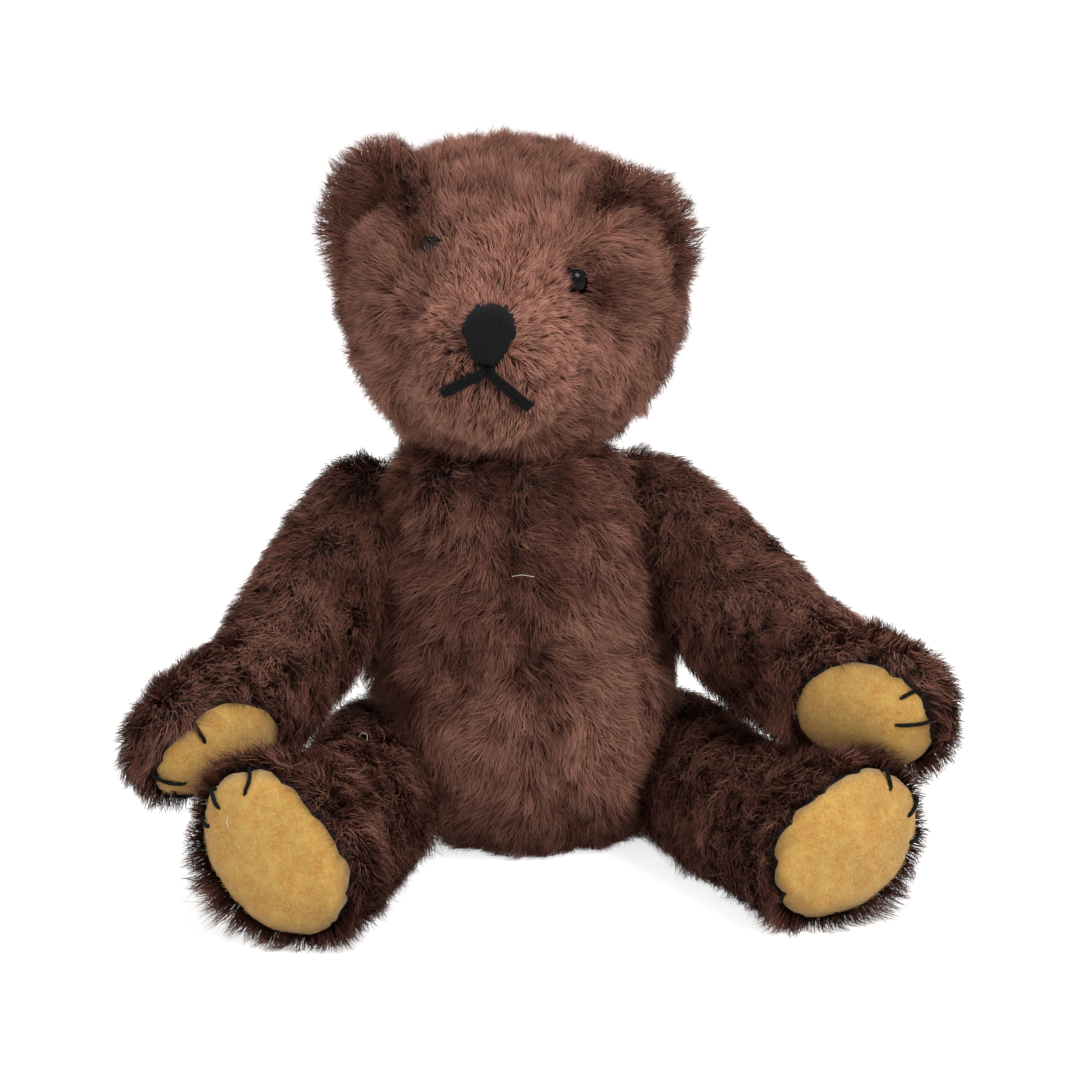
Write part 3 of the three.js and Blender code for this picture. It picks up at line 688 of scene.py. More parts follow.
def on_floor(piece):
    """Keeps a piece above the floor."""
    points = points_of(piece.data)
    points[:, 2] = np.maximum(points[:, 2], FLOOR_GAP)
    piece.data.vertices.foreach_set("co", points.astype(np.float32).ravel())
    piece.data.update()


def others_of(body):
    """The covers' CAD nodes on every other body."""
    return [n for b, ns in MEMBERS.items() if b != body for n in ns if "panel" in n]


class BEAR_OT_covers(bpy.types.Operator):
    """Makes the stuffed covers of the torso, head, arms and legs"""

    bl_idname = "bear.covers"
    bl_label = "Covers"

    def execute(self, context):
        settings = context.scene.bear_cover
        for body in COVERED:
            soft = [n for n in MEMBERS[body] if "panel" in n or "stuffing" in n]
            pads = [n for n in MEMBERS[body] if n in PADS]
            cover = joined(soft + pads, body + "_cover")
            outside = surface_tree(cover)
            remesh(cover, settings.voxel)
            smoothed(cover, 3)
            back_to(cover, outside, 0.7)
            swell(cover, tree_of(others_of(body)))
            subdivision = cover.modifiers.new("round", "SUBSURF")
            subdivision.levels = subdivision.render_levels = 1
            apply_modifiers(cover)
            if body == "torso":
                sink_seam(cover)
            on_floor(cover)
            finish_piece(cover, once(backing_finish), "pile", body, *soft)
        return {"FINISHED"}


class BEAR_OT_ears(bpy.types.Operator):
    """Makes the two ears, each a cupped double layer of cloth"""

    bl_idname = "bear.ears"
    bl_label = "Ears"

    def execute(self, context):
        for ear in EARS:
            layers = [n for n in MEMBERS["head"] if n.startswith(ear)]
            cover = joined(layers, ear + "_cover")
            remesh(cover, context.scene.bear_cover.ear_voxel)
            smoothed(cover, 2)
            subdivision = cover.modifiers.new("round", "SUBSURF")
            subdivision.levels = subdivision.render_levels = 1
            apply_modifiers(cover)
            finish_piece(cover, once(backing_finish), "pile", "head", *layers)
        return {"FINISHED"}


# ---------------------------------------------------------------- pile


def seeds(mesh, count, chance, triangles=None):
    """Places spread over a mesh with their smooth normals."""
    mesh.calc_loop_triangles()
    corners = np.zeros(len(mesh.loop_triangles) * 3, np.int32)
    mesh.loop_triangles.foreach_get("vertices", corners)
    corners = corners.reshape(-1, 3)
    if triangles is not None:
        corners = corners[triangles(mesh, corners)]
    points, normals = points_of(mesh), vertex_normals(mesh)
    a, b, c = (points[corners[:, i]] for i in range(3))
    area = np.linalg.norm(np.cross(b - a, c - a), axis=1) / 2
    if count is None:
        return area.sum()
    pick = chance.choice(len(area), count, p=area / area.sum())
    u, v = chance.random((2, count, 1))
    u, v = np.where(u + v > 1, 1 - u, u), np.where(u + v > 1, 1 - v, v)
    w = 1 - u - v
    na, nb, nc = (normals[corners[pick, i]] for i in range(3))
    return w * a[pick] + u * b[pick] + v * c[pick], unit(w * na + u * nb + v * nc)


def turned(ways, normals, angles):
    """Directions turned about the normals."""
    across = np.cross(normals, ways)
    return ways * np.cos(angles)[:, None] + across * np.sin(angles)[:, None]


def flow(roots, normals, rule, salt):
    """What the pile does at each root: its lie, length, lift and shade."""
    comb, length, lift, shade = rule(roots, normals)
    lie = unit(comb - (comb * normals).sum(1, keepdims=True) * normals)
    swing = 0.36 * waves(roots, 26 * MM, salt) + 0.34 * waves(roots, 9 * MM, salt + 1)
    lie = turned(lie, normals, swing)
    length = length * (1 + 0.1 * waves(roots, 14 * MM, salt + 2))
    lift = np.clip(lift + 0.2 * waves(roots, 10 * MM, salt + 3), 0.12, 1.45)
    shade = shade + 0.07 * waves(roots, 7 * MM, salt + 4) + 0.06 * waves(roots, 22 * MM, salt + 5)
    return lie, length, lift, shade


def bend(roots, normals, lie, length, lift):
    """The middle and the tip of each strand: it stands up from its root, then leans over."""
    low, high = np.minimum(lift + 0.45, 1.5)[:, None], np.maximum(lift - 0.35, 0.05)[:, None]
    half = length[:, None] / 2
    middle = roots + half * (np.sin(low) * normals + np.cos(low) * lie)
    return middle, middle + half * (np.sin(high) * normals + np.cos(high) * lie)


def nearest(points, centres):
    """The index of the centre nearest to each point."""
    tree = KDTree(len(centres))
    for index, centre in enumerate(centres):
        tree.insert(centre, index)
    tree.balance()
    return np.array([tree.find(p)[1] for p in points])


def ribbons(name, roots, middles, tips, normals, widths, shades, twist):
    """A mesh of strands, each a ribbon of three facets, with the strand's own map."""
    along = unit(tips - roots)
    face = unit(normals - (normals * along).sum(1, keepdims=True) * along)
    across = np.cross(along, face)
    side = across * np.cos(twist)[:, None] + face * np.sin(twist)[:, None]
    front = np.cross(side, along)
    half = side * (widths / 2)[:, None]
    points = np.stack(
        [roots - half, roots + half, middles - half * 0.85, middles + half * 0.85, tips], axis=1
    )
    points[:, :, 2] = np.maximum(points[:, :, 2], FLOOR_GAP)
    count = len(roots)
    mesh = bpy.data.meshes.new(name)
    mesh.vertices.add(count * 5)
    mesh.vertices.foreach_set("co", points.astype(np.float32).ravel())
    pattern = np.array([0, 1, 3, 0, 3, 2, 2, 3, 4])
    corners = (np.arange(count)[:, None] * 5 + pattern).ravel().astype(np.int32)
    mesh.loops.add(len(corners))
    mesh.loops.foreach_set("vertex_index", corners)
    mesh.polygons.add(count * 3)
    mesh.polygons.foreach_set("loop_start", np.arange(0, count * 9, 3, dtype=np.int32))
    own = mesh.uv_layers.new(name="OFBake")
    shade = np.clip(shades, 0.01, 0.99)[:, None] + np.array([-1, 1, -1, 1, 0]) * 0.004
    share = np.broadcast_to([0.02, 0.02, 0.5, 0.5, 0.98], shade.shape)
    places = np.stack([share, shade], axis=2)[:, pattern]
    own.data.foreach_set("uv", places.astype(np.float32).ravel())
    mesh.update(calc_edges=True)
    mesh.shade_smooth()
    lit = unit(normals + front * 0.75)
    mesh.normals_split_custom_set_from_vertices(np.repeat(lit, 5, axis=0).astype(np.float32))
    return mesh


def grow(name, cover, body, rule, keep, density, salt, locks=1.0):
    """Pile on a cover, gathered in locks."""
    settings = bpy.context.scene.bear_pile
    chance = np.random.default_rng(settings.seed + salt)
    area = seeds(cover.data, None, chance)
    share = 1.0
    roots, normals = seeds(cover.data, int(area / MM**2 * density * share), chance)
    kept = keep(roots)
    roots, normals = roots[kept], normals[kept]
    centres, centre_normals = seeds(cover.data, int(area / (settings.lock * locks) ** 2), chance)
    lock = nearest(roots, centres)

    def strand(places, ways, spread):
        lie, length, lift, shade = flow(places, ways, rule, salt * 10)
        shade = shade + patches(places, body)
        lie = turned(lie, ways, spread * chance.normal(0, 1, len(places)))
        length = length * chance.normal(1, 0.17, len(places)).clip(0.5, 1.45)
        lift = np.clip(lift + 0.45 * spread * chance.normal(0, 1, len(places)), 0.1, 1.5)
        middle, tip = bend(places, ways, lie, length, lift)
        return middle, tip, shade

    loose = chance.random(len(roots)) < 0.2
    middle, tip, shade = strand(roots, normals, np.where(loose, 1.1, 0.42))
    lock_middle, lock_tip, _ = strand(centres, centre_normals, 0.34)
    offset = roots - centres[lock]
    pull = np.clip(0.44 + 0.24 * waves(roots, 17 * MM, salt * 10 + 7), 0.1, 0.85)[:, None]
    pull = pull * chance.uniform(0.4, 1.1, (len(roots), 1))
    pull[loose] *= 0.1
    middle += (lock_middle[lock] + offset * 0.75 - middle) * pull * 0.45
    tip += (lock_tip[lock] + offset * 0.3 - tip) * pull
    lock_shade = chance.normal(0, 0.09, len(centres))[lock]
    shade = shade + lock_shade + chance.normal(0, 0.1, len(roots)) + 0.12 * loose
    widths = settings.width * chance.uniform(0.7, 1.25, len(roots)) * np.where(loose, 0.65, 1.0)
    widths *= 1 if share == 1 else 1.6
    twist = chance.uniform(-1.25, 1.25, len(roots))
    parts = np.array_split(np.argsort(roots[:, 0], kind="stable"), math.ceil(len(roots) / 64000))
    for number, part in enumerate(parts):
        own = name if len(parts) == 1 else f"{name}_{number + 1}"
        mesh = ribbons(
            own, roots[part], middle[part], tip[part], normals[part], widths[part], shade[part], twist[part]
        )
        piece = new_piece(own, mesh)
        finish_piece(piece, once(pile_finish), "pile", body)


def patches(points, body):
    """How much paler or darker the pile is at each point: worn patches, painted highlight and painted shade.
    """
    total = np.zeros(len(points))
    for place, wide, amount in TONES.get(body, ()):
        far = np.linalg.norm(points - np.array(place) * MM, axis=1)
        total += amount * np.exp(-((far / (wide * MM)) ** 2))
    return total


def limb_way(points, limb):
    """The direction along a limb at each point."""
    line = np.array(LIMB_LINES[limb], float) * MM
    total = np.zeros_like(points)
    for start, end in zip(line[:-1], line[1:]):
        step = end - start
        share = np.clip((points - start) @ step / (step @ step), 0, 1)
        gap = np.linalg.norm(points - start - share[:, None] * step, axis=1)
        total += unit(step)[None] * np.exp(-((gap / (14 * MM)) ** 2))[:, None]
    return unit(total)


def torso_rule(points, normals):
    """The torso's pile lies down, and out from the middle seam."""
    settings = bpy.context.scene.bear_pile
    side = seam_side(points)
    comb = np.zeros_like(points)
    comb[:, 0] = 0.55 * np.tanh(side / (9 * MM))
    chest = (
        ease(points[:, 2], 66 * MM, 80 * MM)
        * ease(-side, -2 * MM, 4 * MM)
        * ease(side, -24 * MM, -12 * MM)
    )
    comb[:, 0] += 1.0 * chest
    comb[:, 1] = 0.3
    comb[:, 2] = -1
    front = ease(-normals[:, 1], 0.2, 0.6)
    by_seam = np.exp(-((side / (3.2 * MM)) ** 2)) * front
    length = settings.length * (1 - 0.3 * by_seam) * (1 - 0.25 * ease(points[:, 2], 92 * MM, 104 * MM))
    lift = 0.72 - 0.14 * by_seam
    # The belly is painted paler: a painted highlight.
    belly_highlight = ease(-points[:, 2], -62 * MM, -30 * MM) * ease(points[:, 2], 8 * MM, 24 * MM)
    # Along the seam the pile is painted darker: painted shade in the parting.
    shade = 0.27 + 0.4 * belly_highlight - 0.3 * by_seam
    return comb, length, lift + np.zeros(len(points)), shade


def head_rule(points, normals):
    """The head's pile spreads from the nose, back over the top and down the cheeks."""
    settings = bpy.context.scene.bear_pile
    own = head_local(points)
    nose = head_local(np.array([sum(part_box("nose"), Vector()) / 2]))[0]
    away = own - nose
    far = np.linalg.norm(away, axis=1)
    comb = unit(away)
    back = ease(own[:, 1], -8 * MM, 24 * MM)[:, None]
    comb = comb * (1 - back) + np.array([0, 0.15, -1]) * back
    cheek = ease(np.abs(own[:, 0]), 16 * MM, 34 * MM) * ease(-own[:, 2], -54 * MM, -34 * MM)
    comb = comb + np.array([0, 0, -0.8]) * cheek[:, None]
    cheek_fringe = ease(own[:, 0], 14 * MM, 30 * MM) * ease(-own[:, 2], -34 * MM, -18 * MM)
    length = settings.length * (0.5 + 0.44 * ease(far, 10 * MM, 44 * MM) + 0.08 * cheek_fringe)
    lift = 1.02 - 0.26 * ease(far, 12 * MM, 46 * MM)
    # The face is painted paler to the front and round the nose, part its own tone and part painted highlight;
    # the sides and the top are darker.
    front = 1 - ease(own[:, 1], -30 * MM, 12 * MM)
    shade = 0.36 + 0.28 * front + 0.12 * (1 - ease(far, 16 * MM, 34 * MM))
    shade -= 0.16 * ease(np.abs(own[:, 0]), 22 * MM, 36 * MM) + 0.14 * ease(own[:, 2], 56 * MM, 70 * MM)
    for eye, side in (("eye_left", 3), ("eye_right", -3)):
        place = head_local(np.array([sum(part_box(eye), Vector()) / 2]))[0]
        gap = np.linalg.norm(own - place, axis=1)
        length = length * (0.62 + 0.38 * ease(gap, 3.5 * MM, 8 * MM))
        # Beside each eye the pile is painted darker: painted shadow in the eye's hollow.
        beside = np.linalg.norm(own - place - np.array([side, 0, 0]) * MM, axis=1)
        shade = shade - 0.55 * np.exp(-((beside / (7 * MM)) ** 2))
    return head_world(comb), length, lift, shade


def ear_rule(points, normals):
    """The ears' pile stands out from the head and over the rim."""
    settings = bpy.context.scene.bear_pile
    own, ways = head_local(points), normals @ np.array(HEAD_FRAME)[:3, :3]
    centre = EARS["ear_left" if own[:, 0].mean() > 0 else "ear_right"]
    comb = unit(own - SKULL) + 0.7 * (own - centre) / (15 * MM)
    inner = ease(-ways[:, 1], 0.1, 0.6)
    rim = np.linalg.norm((own - centre)[:, [0, 2]], axis=1)
    length = settings.length * (0.86 - 0.2 * inner * (1 - ease(rim, 8 * MM, 14 * MM)))
    lift = 0.55 + 0.15 * inner
    # By the head and inside the cup the pile is painted darker: painted shade at the ear's base and in its
    # hollow. The rim is paler.
    shaded_by_head = 1 - ease(np.linalg.norm(own - SKULL, axis=1), 42 * MM, 50 * MM)
    shade = 0.36 + 0.18 * ease(rim, 9 * MM, 16 * MM) - 0.06 * inner - 0.3 * shaded_by_head
    return head_world(comb), length, lift, shade


def limb_rule(limb):
    """The rule for a limb: its pile lies along it and down, and fringes its pad."""
    middle, out = (np.array(way, float) for way in PADS[pad_of(limb)][:2])
    centre = middle * MM
    leg = limb.startswith("leg")

    def rule(points, normals):
        settings = bpy.context.scene.bear_pile
        away = points - centre
        near = 1 - ease(np.linalg.norm(away, axis=1), 19 * MM, 36 * MM)
        outward = unit(away - (away @ out)[:, None] * out)
        comb = limb_way(points, limb) + np.array([0, 0, -0.35]) * (1 - near)[:, None]
        forward = (0.9 if leg else 0.3) * out
        comb = comb * (1 - 0.5 * near)[:, None] + (0.5 * outward + forward) * near[:, None]
        low = ease(-normals[:, 2], -0.2, 0.5)
        length = settings.length * (0.82 + (0.16 if leg else 0.06) * near + 0.16 * low)
        lift = 0.55 + 0.32 * near + 0.12 * low
        # Pile that faces up is painted paler, a painted highlight from the light above; near the pad it is a
        # little paler.
        shade = 0.14 + 0.12 * ease(normals[:, 2], 0.1, 0.9) + 0.05 * near
        return comb, length, lift, shade

    return rule


def pad_of(limb):
    """The name of a limb's felt pad."""
    return next(node for node in MEMBERS[limb] if node in PADS)


class BEAR_OT_pile(bpy.types.Operator):
    """Grows the mohair pile on every cover"""

    bl_idname = "bear.pile"
    bl_label = "Pile"

    def execute(self, context):
        density = context.scene.bear_pile.density
        rules = {"torso": torso_rule, "head": head_rule, **{b: limb_rule(b) for b in LIMBS}}
        for salt, body in enumerate(COVERED):
            cover = bpy.data.objects[body + "_cover"]
            fine = 1.15 if body == "head" else 1.0
            grow(body + "_pile", cover, body, rules[body], bare_spots(body), density * fine, salt + 1)
        for salt, ear in enumerate(EARS):
            cover = bpy.data.objects[ear + "_cover"]
            grow(ear + "_pile", cover, "head", ear_rule, all_over, density * 1.2, salt + 11, locks=0.85)
        return {"FINISHED"}


def all_over(points):
    """Pile everywhere."""
    return np.ones(len(points), bool)


def bare_spots(body):
    """The test for where a body's cover has pile: not under pads, stitches or eyes, nor in a joint."""
    pads = [n for n in MEMBERS[body] if n in PADS]
    stitches = [n for n in MEMBERS[body] if "mouth" in n or "nose" in n]
    eyes = [n for n in MEMBERS[body] if "eye" in n]
    neighbours = tree_of(others_of(body))

    def keep(points):
        kept = distances(points, neighbours, 3 * MM) > 1.7 * MM
        for pad in pads:
            felt = surface_tree(bpy.data.objects[pad + "_felt"])
            kept &= distances(points, felt, 2 * MM) > 0.75 * MM
        if stitches:
            kept &= distances(points, tree_of(stitches), 2 * MM) > 0.6 * MM
        if eyes:
            kept &= distances(points, tree_of(eyes), 4 * MM) > 0.35 * MM
        return kept

    return keep


# ---------------------------------------------------------------- felt


def round_disc(rings, segments):
    """A flat disc of rings, one unit in radius."""
    shape = bmesh.new()
    line = [shape.verts.new((step / rings, 0, 0)) for step in range(rings + 1)]
    edges = [shape.edges.new(pair) for pair in zip(line[:-1], line[1:])]
    bmesh.ops.spin(
        shape, geom=line + edges, cent=(0, 0, 0), axis=(0, 0, 1), dvec=(0, 0, 0),
        angle=2 * math.pi, steps=segments, use_merge=True,
    )
    bmesh.ops.remove_doubles(shape, verts=shape.verts, dist=1e-5)
    return shape


def reach_of(tree, start, ray, step):
    """How many steps from the start a ray still meets a tree's surface, up to 1."""
    low, high = 0.2, 1.0
    for _ in range(9):
        middle = (low + high) / 2
        if tree.ray_cast(start + step * middle, ray)[0] is None:
            high = middle
        else:
            low = middle
    return low


def outline_of(tree, start, ray, across, along, segments):
    """The outline of a CAD pad round its middle, as reaches at even angles, evened within it."""
    angles = np.linspace(0, 2 * math.pi, segments, endpoint=False)
    own = np.array([
        reach_of(tree, start, ray, across * math.cos(t) + along * math.sin(t)) for t in angles
    ])
    reach = own
    for _ in range(7):
        reach = (np.roll(reach, 1) + 2 * reach + np.roll(reach, -1)) / 4
    return np.minimum(reach, own)


def laid_pad(node, body):
    """A felt pad laid on the cover over its CAD node, a little crowned, with its cut edge."""
    (middle, out, long), (half_across, half_along) = map(Vector, PADS[node][:3]), PADS[node][3]
    across, along = long.cross(out) * half_across * MM, long * half_along * MM
    cover, cut_out = surface_tree(bpy.data.objects[body + "_cover"]), tree_of([node])
    settings = bpy.context.scene.bear_felt
    segments = 88
    start = middle * MM + out * 40 * MM
    reach = outline_of(cut_out, start, -out, across, along, segments)
    shape = round_disc(18, segments)
    for vertex in shape.verts:
        x, y = vertex.co.x, vertex.co.y
        radius, angle = math.hypot(x, y), math.atan2(y, x) % (2 * math.pi)
        cut = reach[round(angle / (2 * math.pi) * segments) % segments] * 0.985
        cut *= 1 + 0.006 * math.sin(5 * angle + 1) + 0.005 * math.sin(13 * angle)
        on_node = cut_out.ray_cast(start + (across * x + along * y) * cut, -out)[0]
        if on_node is None:
            raise RuntimeError(f"{node} has no surface at {x:.2f}, {y:.2f}")
        place, normal, _, _ = cover.find_nearest(on_node)
        crown = 0.85 + 0.65 * (1 - radius**2.5)
        vertex.co = place + normal * crown * MM
    piece = new_piece(node + "_felt", mesh_of(shape, node + "_felt"))
    facing(piece, out)
    smooth_only(piece, 2)
    wall = piece.modifiers.new("felt", "SOLIDIFY")
    wall.thickness, wall.offset, wall.use_even_offset = settings.thickness, -1, False
    apply_modifiers(piece)
    return piece


def facing(piece, out):
    """Turns a sheet's faces to point outwards."""
    total = sum((p.normal * p.area for p in piece.data.polygons), Vector())
    if total.dot(Vector(out)) < 0:
        piece.data.flip_normals()


def smooth_only(piece, rounds):
    """Evens a sheet out inside its edge."""
    shape = bmesh.new()
    shape.from_mesh(piece.data)
    inner = [v for v in shape.verts if not v.is_boundary]
    for _ in range(rounds):
        bmesh.ops.smooth_vert(
            shape, verts=inner, factor=0.5, use_axis_x=True, use_axis_y=True, use_axis_z=True
        )
    shape.to_mesh(piece.data)
    shape.free()


class BEAR_OT_felt_pads(bpy.types.Operator):
    """Lays the felt pads on the paws and the soles"""

    bl_idname = "bear.felt_pads"
    bl_label = "Felt pads"

    def execute(self, context):
        for body in LIMBS:
            node = pad_of(body)
            pad = laid_pad(node, body)
            finish_piece(pad, once(felt_finish), "felt", body, node)
        return {"FINISHED"}


class BEAR_OT_felt_nap(bpy.types.Operator):
    """Raises short loose fibres on the felt pads"""

    bl_idname = "bear.felt_nap"
    bl_label = "Felt nap"

    def execute(self, context):
        for salt, body in enumerate(LIMBS):
            node = pad_of(body)
            pad = bpy.data.objects[node + "_felt"]
            chance = np.random.default_rng(40 + salt)
            roots, normals = seeds(pad.data, 5200, chance)
            up = normals @ np.array(PADS[node][1]) > 0.15
            roots, normals = roots[up], normals[up]
            lie = unit(np.cross(normals, unit(chance.normal(size=roots.shape))))
            length = chance.uniform(0.5, 2.0, len(roots)) * MM
            lift = chance.uniform(0.02, 0.35, len(roots))
            middle, tip = bend(roots, normals, lie, length, lift)
            widths = chance.uniform(0.06, 0.12, len(roots)) * MM
            mesh = ribbons(
                node + "_nap", roots, middle, tip, normals, widths,
                chance.uniform(0.1, 0.9, len(roots)), chance.uniform(-0.8, 0.8, len(roots)),
            )
            nap = new_piece(node + "_nap", mesh)
            finish_piece(nap, once(nap_finish), "felt", body)
        return {"FINISHED"}


def nap_finish():
    """Loose wool fibres of the felt."""
    settings = bpy.context.scene.bear_felt
    nap = Finish("felt_nap", 0.9, Sheen_Weight=0.2)
    place = nap.node("ShaderNodeUVMap", uv_map="OFBake").outputs[0]
    shade = nap.node("ShaderNodeSeparateXYZ", {0: place}).outputs[1]
    pale = [min(1, x * 1.25 + 0.03) for x in settings.felt]
    return nap.paint(nap.ramp(shade, [(0.1, settings.mottle), (0.5, settings.felt), (0.9, pale)]))


# ---------------------------------------------------------------- eyes and stitching


def short_axis(node):
    """The middle of a node and the direction in which it is thinnest."""
    points = points_of(frame["nodes"][node].data)
    middle = points.mean(0)
    return middle, np.linalg.svd(points - middle, full_matrices=False)[2][2]


def eye_dome(node):
    """A glass eye: a dome with a rolled rim, turned from its outline."""
    middle, axis = short_axis(node)
    skull = np.array(HEAD_FRAME @ Vector(SKULL))
    if (middle - skull) @ axis < 0:
        axis = -axis
    low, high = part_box(node)
    radius = 3.8 * MM
    shape = bmesh.new()
    outline = [(0, 1.6)]
    outline += [(math.sin(t) * 0.97, 0.15 + 1.45 * math.cos(t)) for t in np.linspace(0.12, 1.45, 12)]
    outline += [(1.0, 0.25), (1.02, 0.1), (0.99, -0.05), (0.7, -0.2), (0, -0.25)]
    scale = (radius, 1.9 * MM)
    line = [shape.verts.new((x * scale[0], 0, z * scale[1])) for x, z in outline]
    edges = [shape.edges.new(pair) for pair in zip(line[:-1], line[1:])]
    bmesh.ops.spin(
        shape, geom=line + edges, cent=(0, 0, 0), axis=(0, 0, 1), dvec=(0, 0, 0),
        angle=2 * math.pi, steps=40, use_merge=True,
    )
    bmesh.ops.remove_doubles(shape, verts=shape.verts, dist=0.001 * MM)
    bmesh.ops.recalc_face_normals(shape, faces=shape.faces)
    turn = Vector(axis).to_track_quat("Z", "Y").to_matrix().to_4x4()
    place = Vector((low + high) / 2) - Vector(axis) * 1.5 * MM
    shape.transform(Matrix.Translation(place) @ turn)
    return new_piece(node + "_dome", mesh_of(shape, node + "_dome"))


class BEAR_OT_eyes(bpy.types.Operator):
    """Sets the two glass eyes"""

    bl_idname = "bear.eyes"
    bl_label = "Eyes"

    def execute(self, context):
        for node in ("eye_left", "eye_right"):
            finish_piece(eye_dome(node), once(eye_finish), "eye_glass", "head", node)
        return {"FINISHED"}


def smooth_line(points, count):
    """A smooth line of that many points through a few."""
    points = np.array(points, float)
    steps = np.concatenate([[0], np.cumsum(np.linalg.norm(np.diff(points, axis=0), axis=1))])
    fine = np.linspace(0, steps[-1], count)
    line = np.stack([np.interp(fine, steps, points[:, i]) for i in range(3)], axis=1)
    for _ in range(max(2, count // 6)):
        line[1:-1] = (line[:-2] + 2 * line[1:-1] + line[2:]) / 4
    return line


def plies(line, thickness, count=3, pitch=2.4 * MM):
    """The lines of a twisted thread's plies."""
    along = unit(np.gradient(line, axis=0))
    side = unit(np.cross(along, [0.31, 0.23, 0.92]))
    up = np.cross(along, side)
    steps = np.concatenate([[0], np.cumsum(np.linalg.norm(np.diff(line, axis=0), axis=1))])
    for ply in range(count):
        turn = 2 * math.pi * (steps / pitch + ply / count)
        yield line + (side * np.cos(turn)[:, None] + up * np.sin(turn)[:, None]) * thickness * 0.25


def thread_piece(name, lines, radius):
    """A piece of round threads that follow lines."""
    curve = bpy.data.curves.new(name, "CURVE")
    curve.dimensions, curve.bevel_depth, curve.bevel_resolution = "3D", radius, 1
    curve.use_fill_caps = True
    for line in lines:
        spline = curve.splines.new("POLY")
        spline.points.add(len(line) - 1)
        spline.points.foreach_set("co", np.c_[line, np.ones(len(line))].ravel())
    drawn = bpy.data.objects.new(name + "_line", curve)
    mesh = bpy.data.meshes.new_from_object(drawn)
    bpy.data.objects.remove(drawn)
    bpy.data.curves.remove(curve)
    mesh.name = name
    mesh.shade_smooth()
    return new_piece(name, mesh)


def node_line(node, steps):
    """The middle line of a CAD thread, from its mesh."""
    points = points_of(frame["nodes"][node].data)
    middle = points.mean(0)
    along = np.linalg.svd(points - middle, full_matrices=False)[2][0]
    share = (points - middle) @ along
    edges = np.linspace(share.min(), share.max() + 1e-9, steps + 1)
    bins = [points[(share >= a) & (share < b)] for a, b in zip(edges[:-1], edges[1:])]
    line = [b.mean(0) for b in bins if len(b)]
    first, last = line[0] * 1.4 - line[1] * 0.4, line[-1] * 1.4 - line[-2] * 0.4
    return [first, *line[1:-1], last]


class BEAR_OT_claws(bpy.types.Operator):
    """Sews the claws, three twisted threads on each paw and foot"""

    bl_idname = "bear.claws"
    bl_label = "Claws"

    def execute(self, context):
        thick = context.scene.bear_thread.claw
        for limb in LIMBS:
            nodes = [n for n in MEMBERS[limb] if "claw" in n]
            for node, points in zip(nodes, CLAWS[limb]):
                line = over_pile(smooth_line(np.array(points) * MM, 40), limb)
                piece = thread_piece(node + "_thread", plies(line, thick), thick * 0.29)
                finish_piece(piece, once(thread_finish), "black_thread", limb, node)
        return {"FINISHED"}


def ends(count, share):
    """1 at both ends of a line, falling to 0 over that share of it."""
    steps = np.linspace(0, 1, count)
    return 1 - ease(np.minimum(steps, 1 - steps), 0, share)


def over_pile(line, limb):
    """A claw's line over the felt and the pile beside it, with its ends sewn in."""
    cover = surface_tree(bpy.data.objects[limb + "_cover"])
    found = [cover.find_nearest(point)[:2] for point in line]
    up = unit(np.array([normal for _, normal in found]).mean(0))
    on_cover = np.array([place for place, _ in found])
    lift = 1.55 + 0.8 * np.linspace(0, 1, len(line)) ** 2 - 1.3 * ends(len(line), 0.12)
    return smooth_line(on_cover + up * lift[:, None] * MM, len(line))


class BEAR_OT_mouth(bpy.types.Operator):
    """Sews the mouth, two straight strokes of three threads each"""

    bl_idname = "bear.mouth"
    bl_label = "Mouth"

    def execute(self, context):
        thick = context.scene.bear_thread.mouth
        cover = surface_tree(bpy.data.objects["head_cover"])
        for node in ("mouth_left", "mouth_right"):
            line = node_line(node, 5)
            top = 0 if line[0][2] > line[-1][2] else -1
            line[top] = line[top] + unit(line[top] - line[2]) * 1.2 * MM
            line = smooth_line(line, 40)
            up = np.array([cover.find_nearest(point)[1] for point in line])
            line = line + up * (1.7 - 2.4 * ends(len(line), 0.1))[:, None] * MM
            across = unit(np.cross(np.gradient(line, axis=0), up))
            lines = []
            for shift in (-0.8, 0, 0.8):
                lines += list(plies(line + across * shift * thick, thick))
            piece = thread_piece(node + "_thread", lines, thick * 0.3)
            finish_piece(piece, once(thread_finish), "black_thread", "head", node)
        return {"FINISHED"}


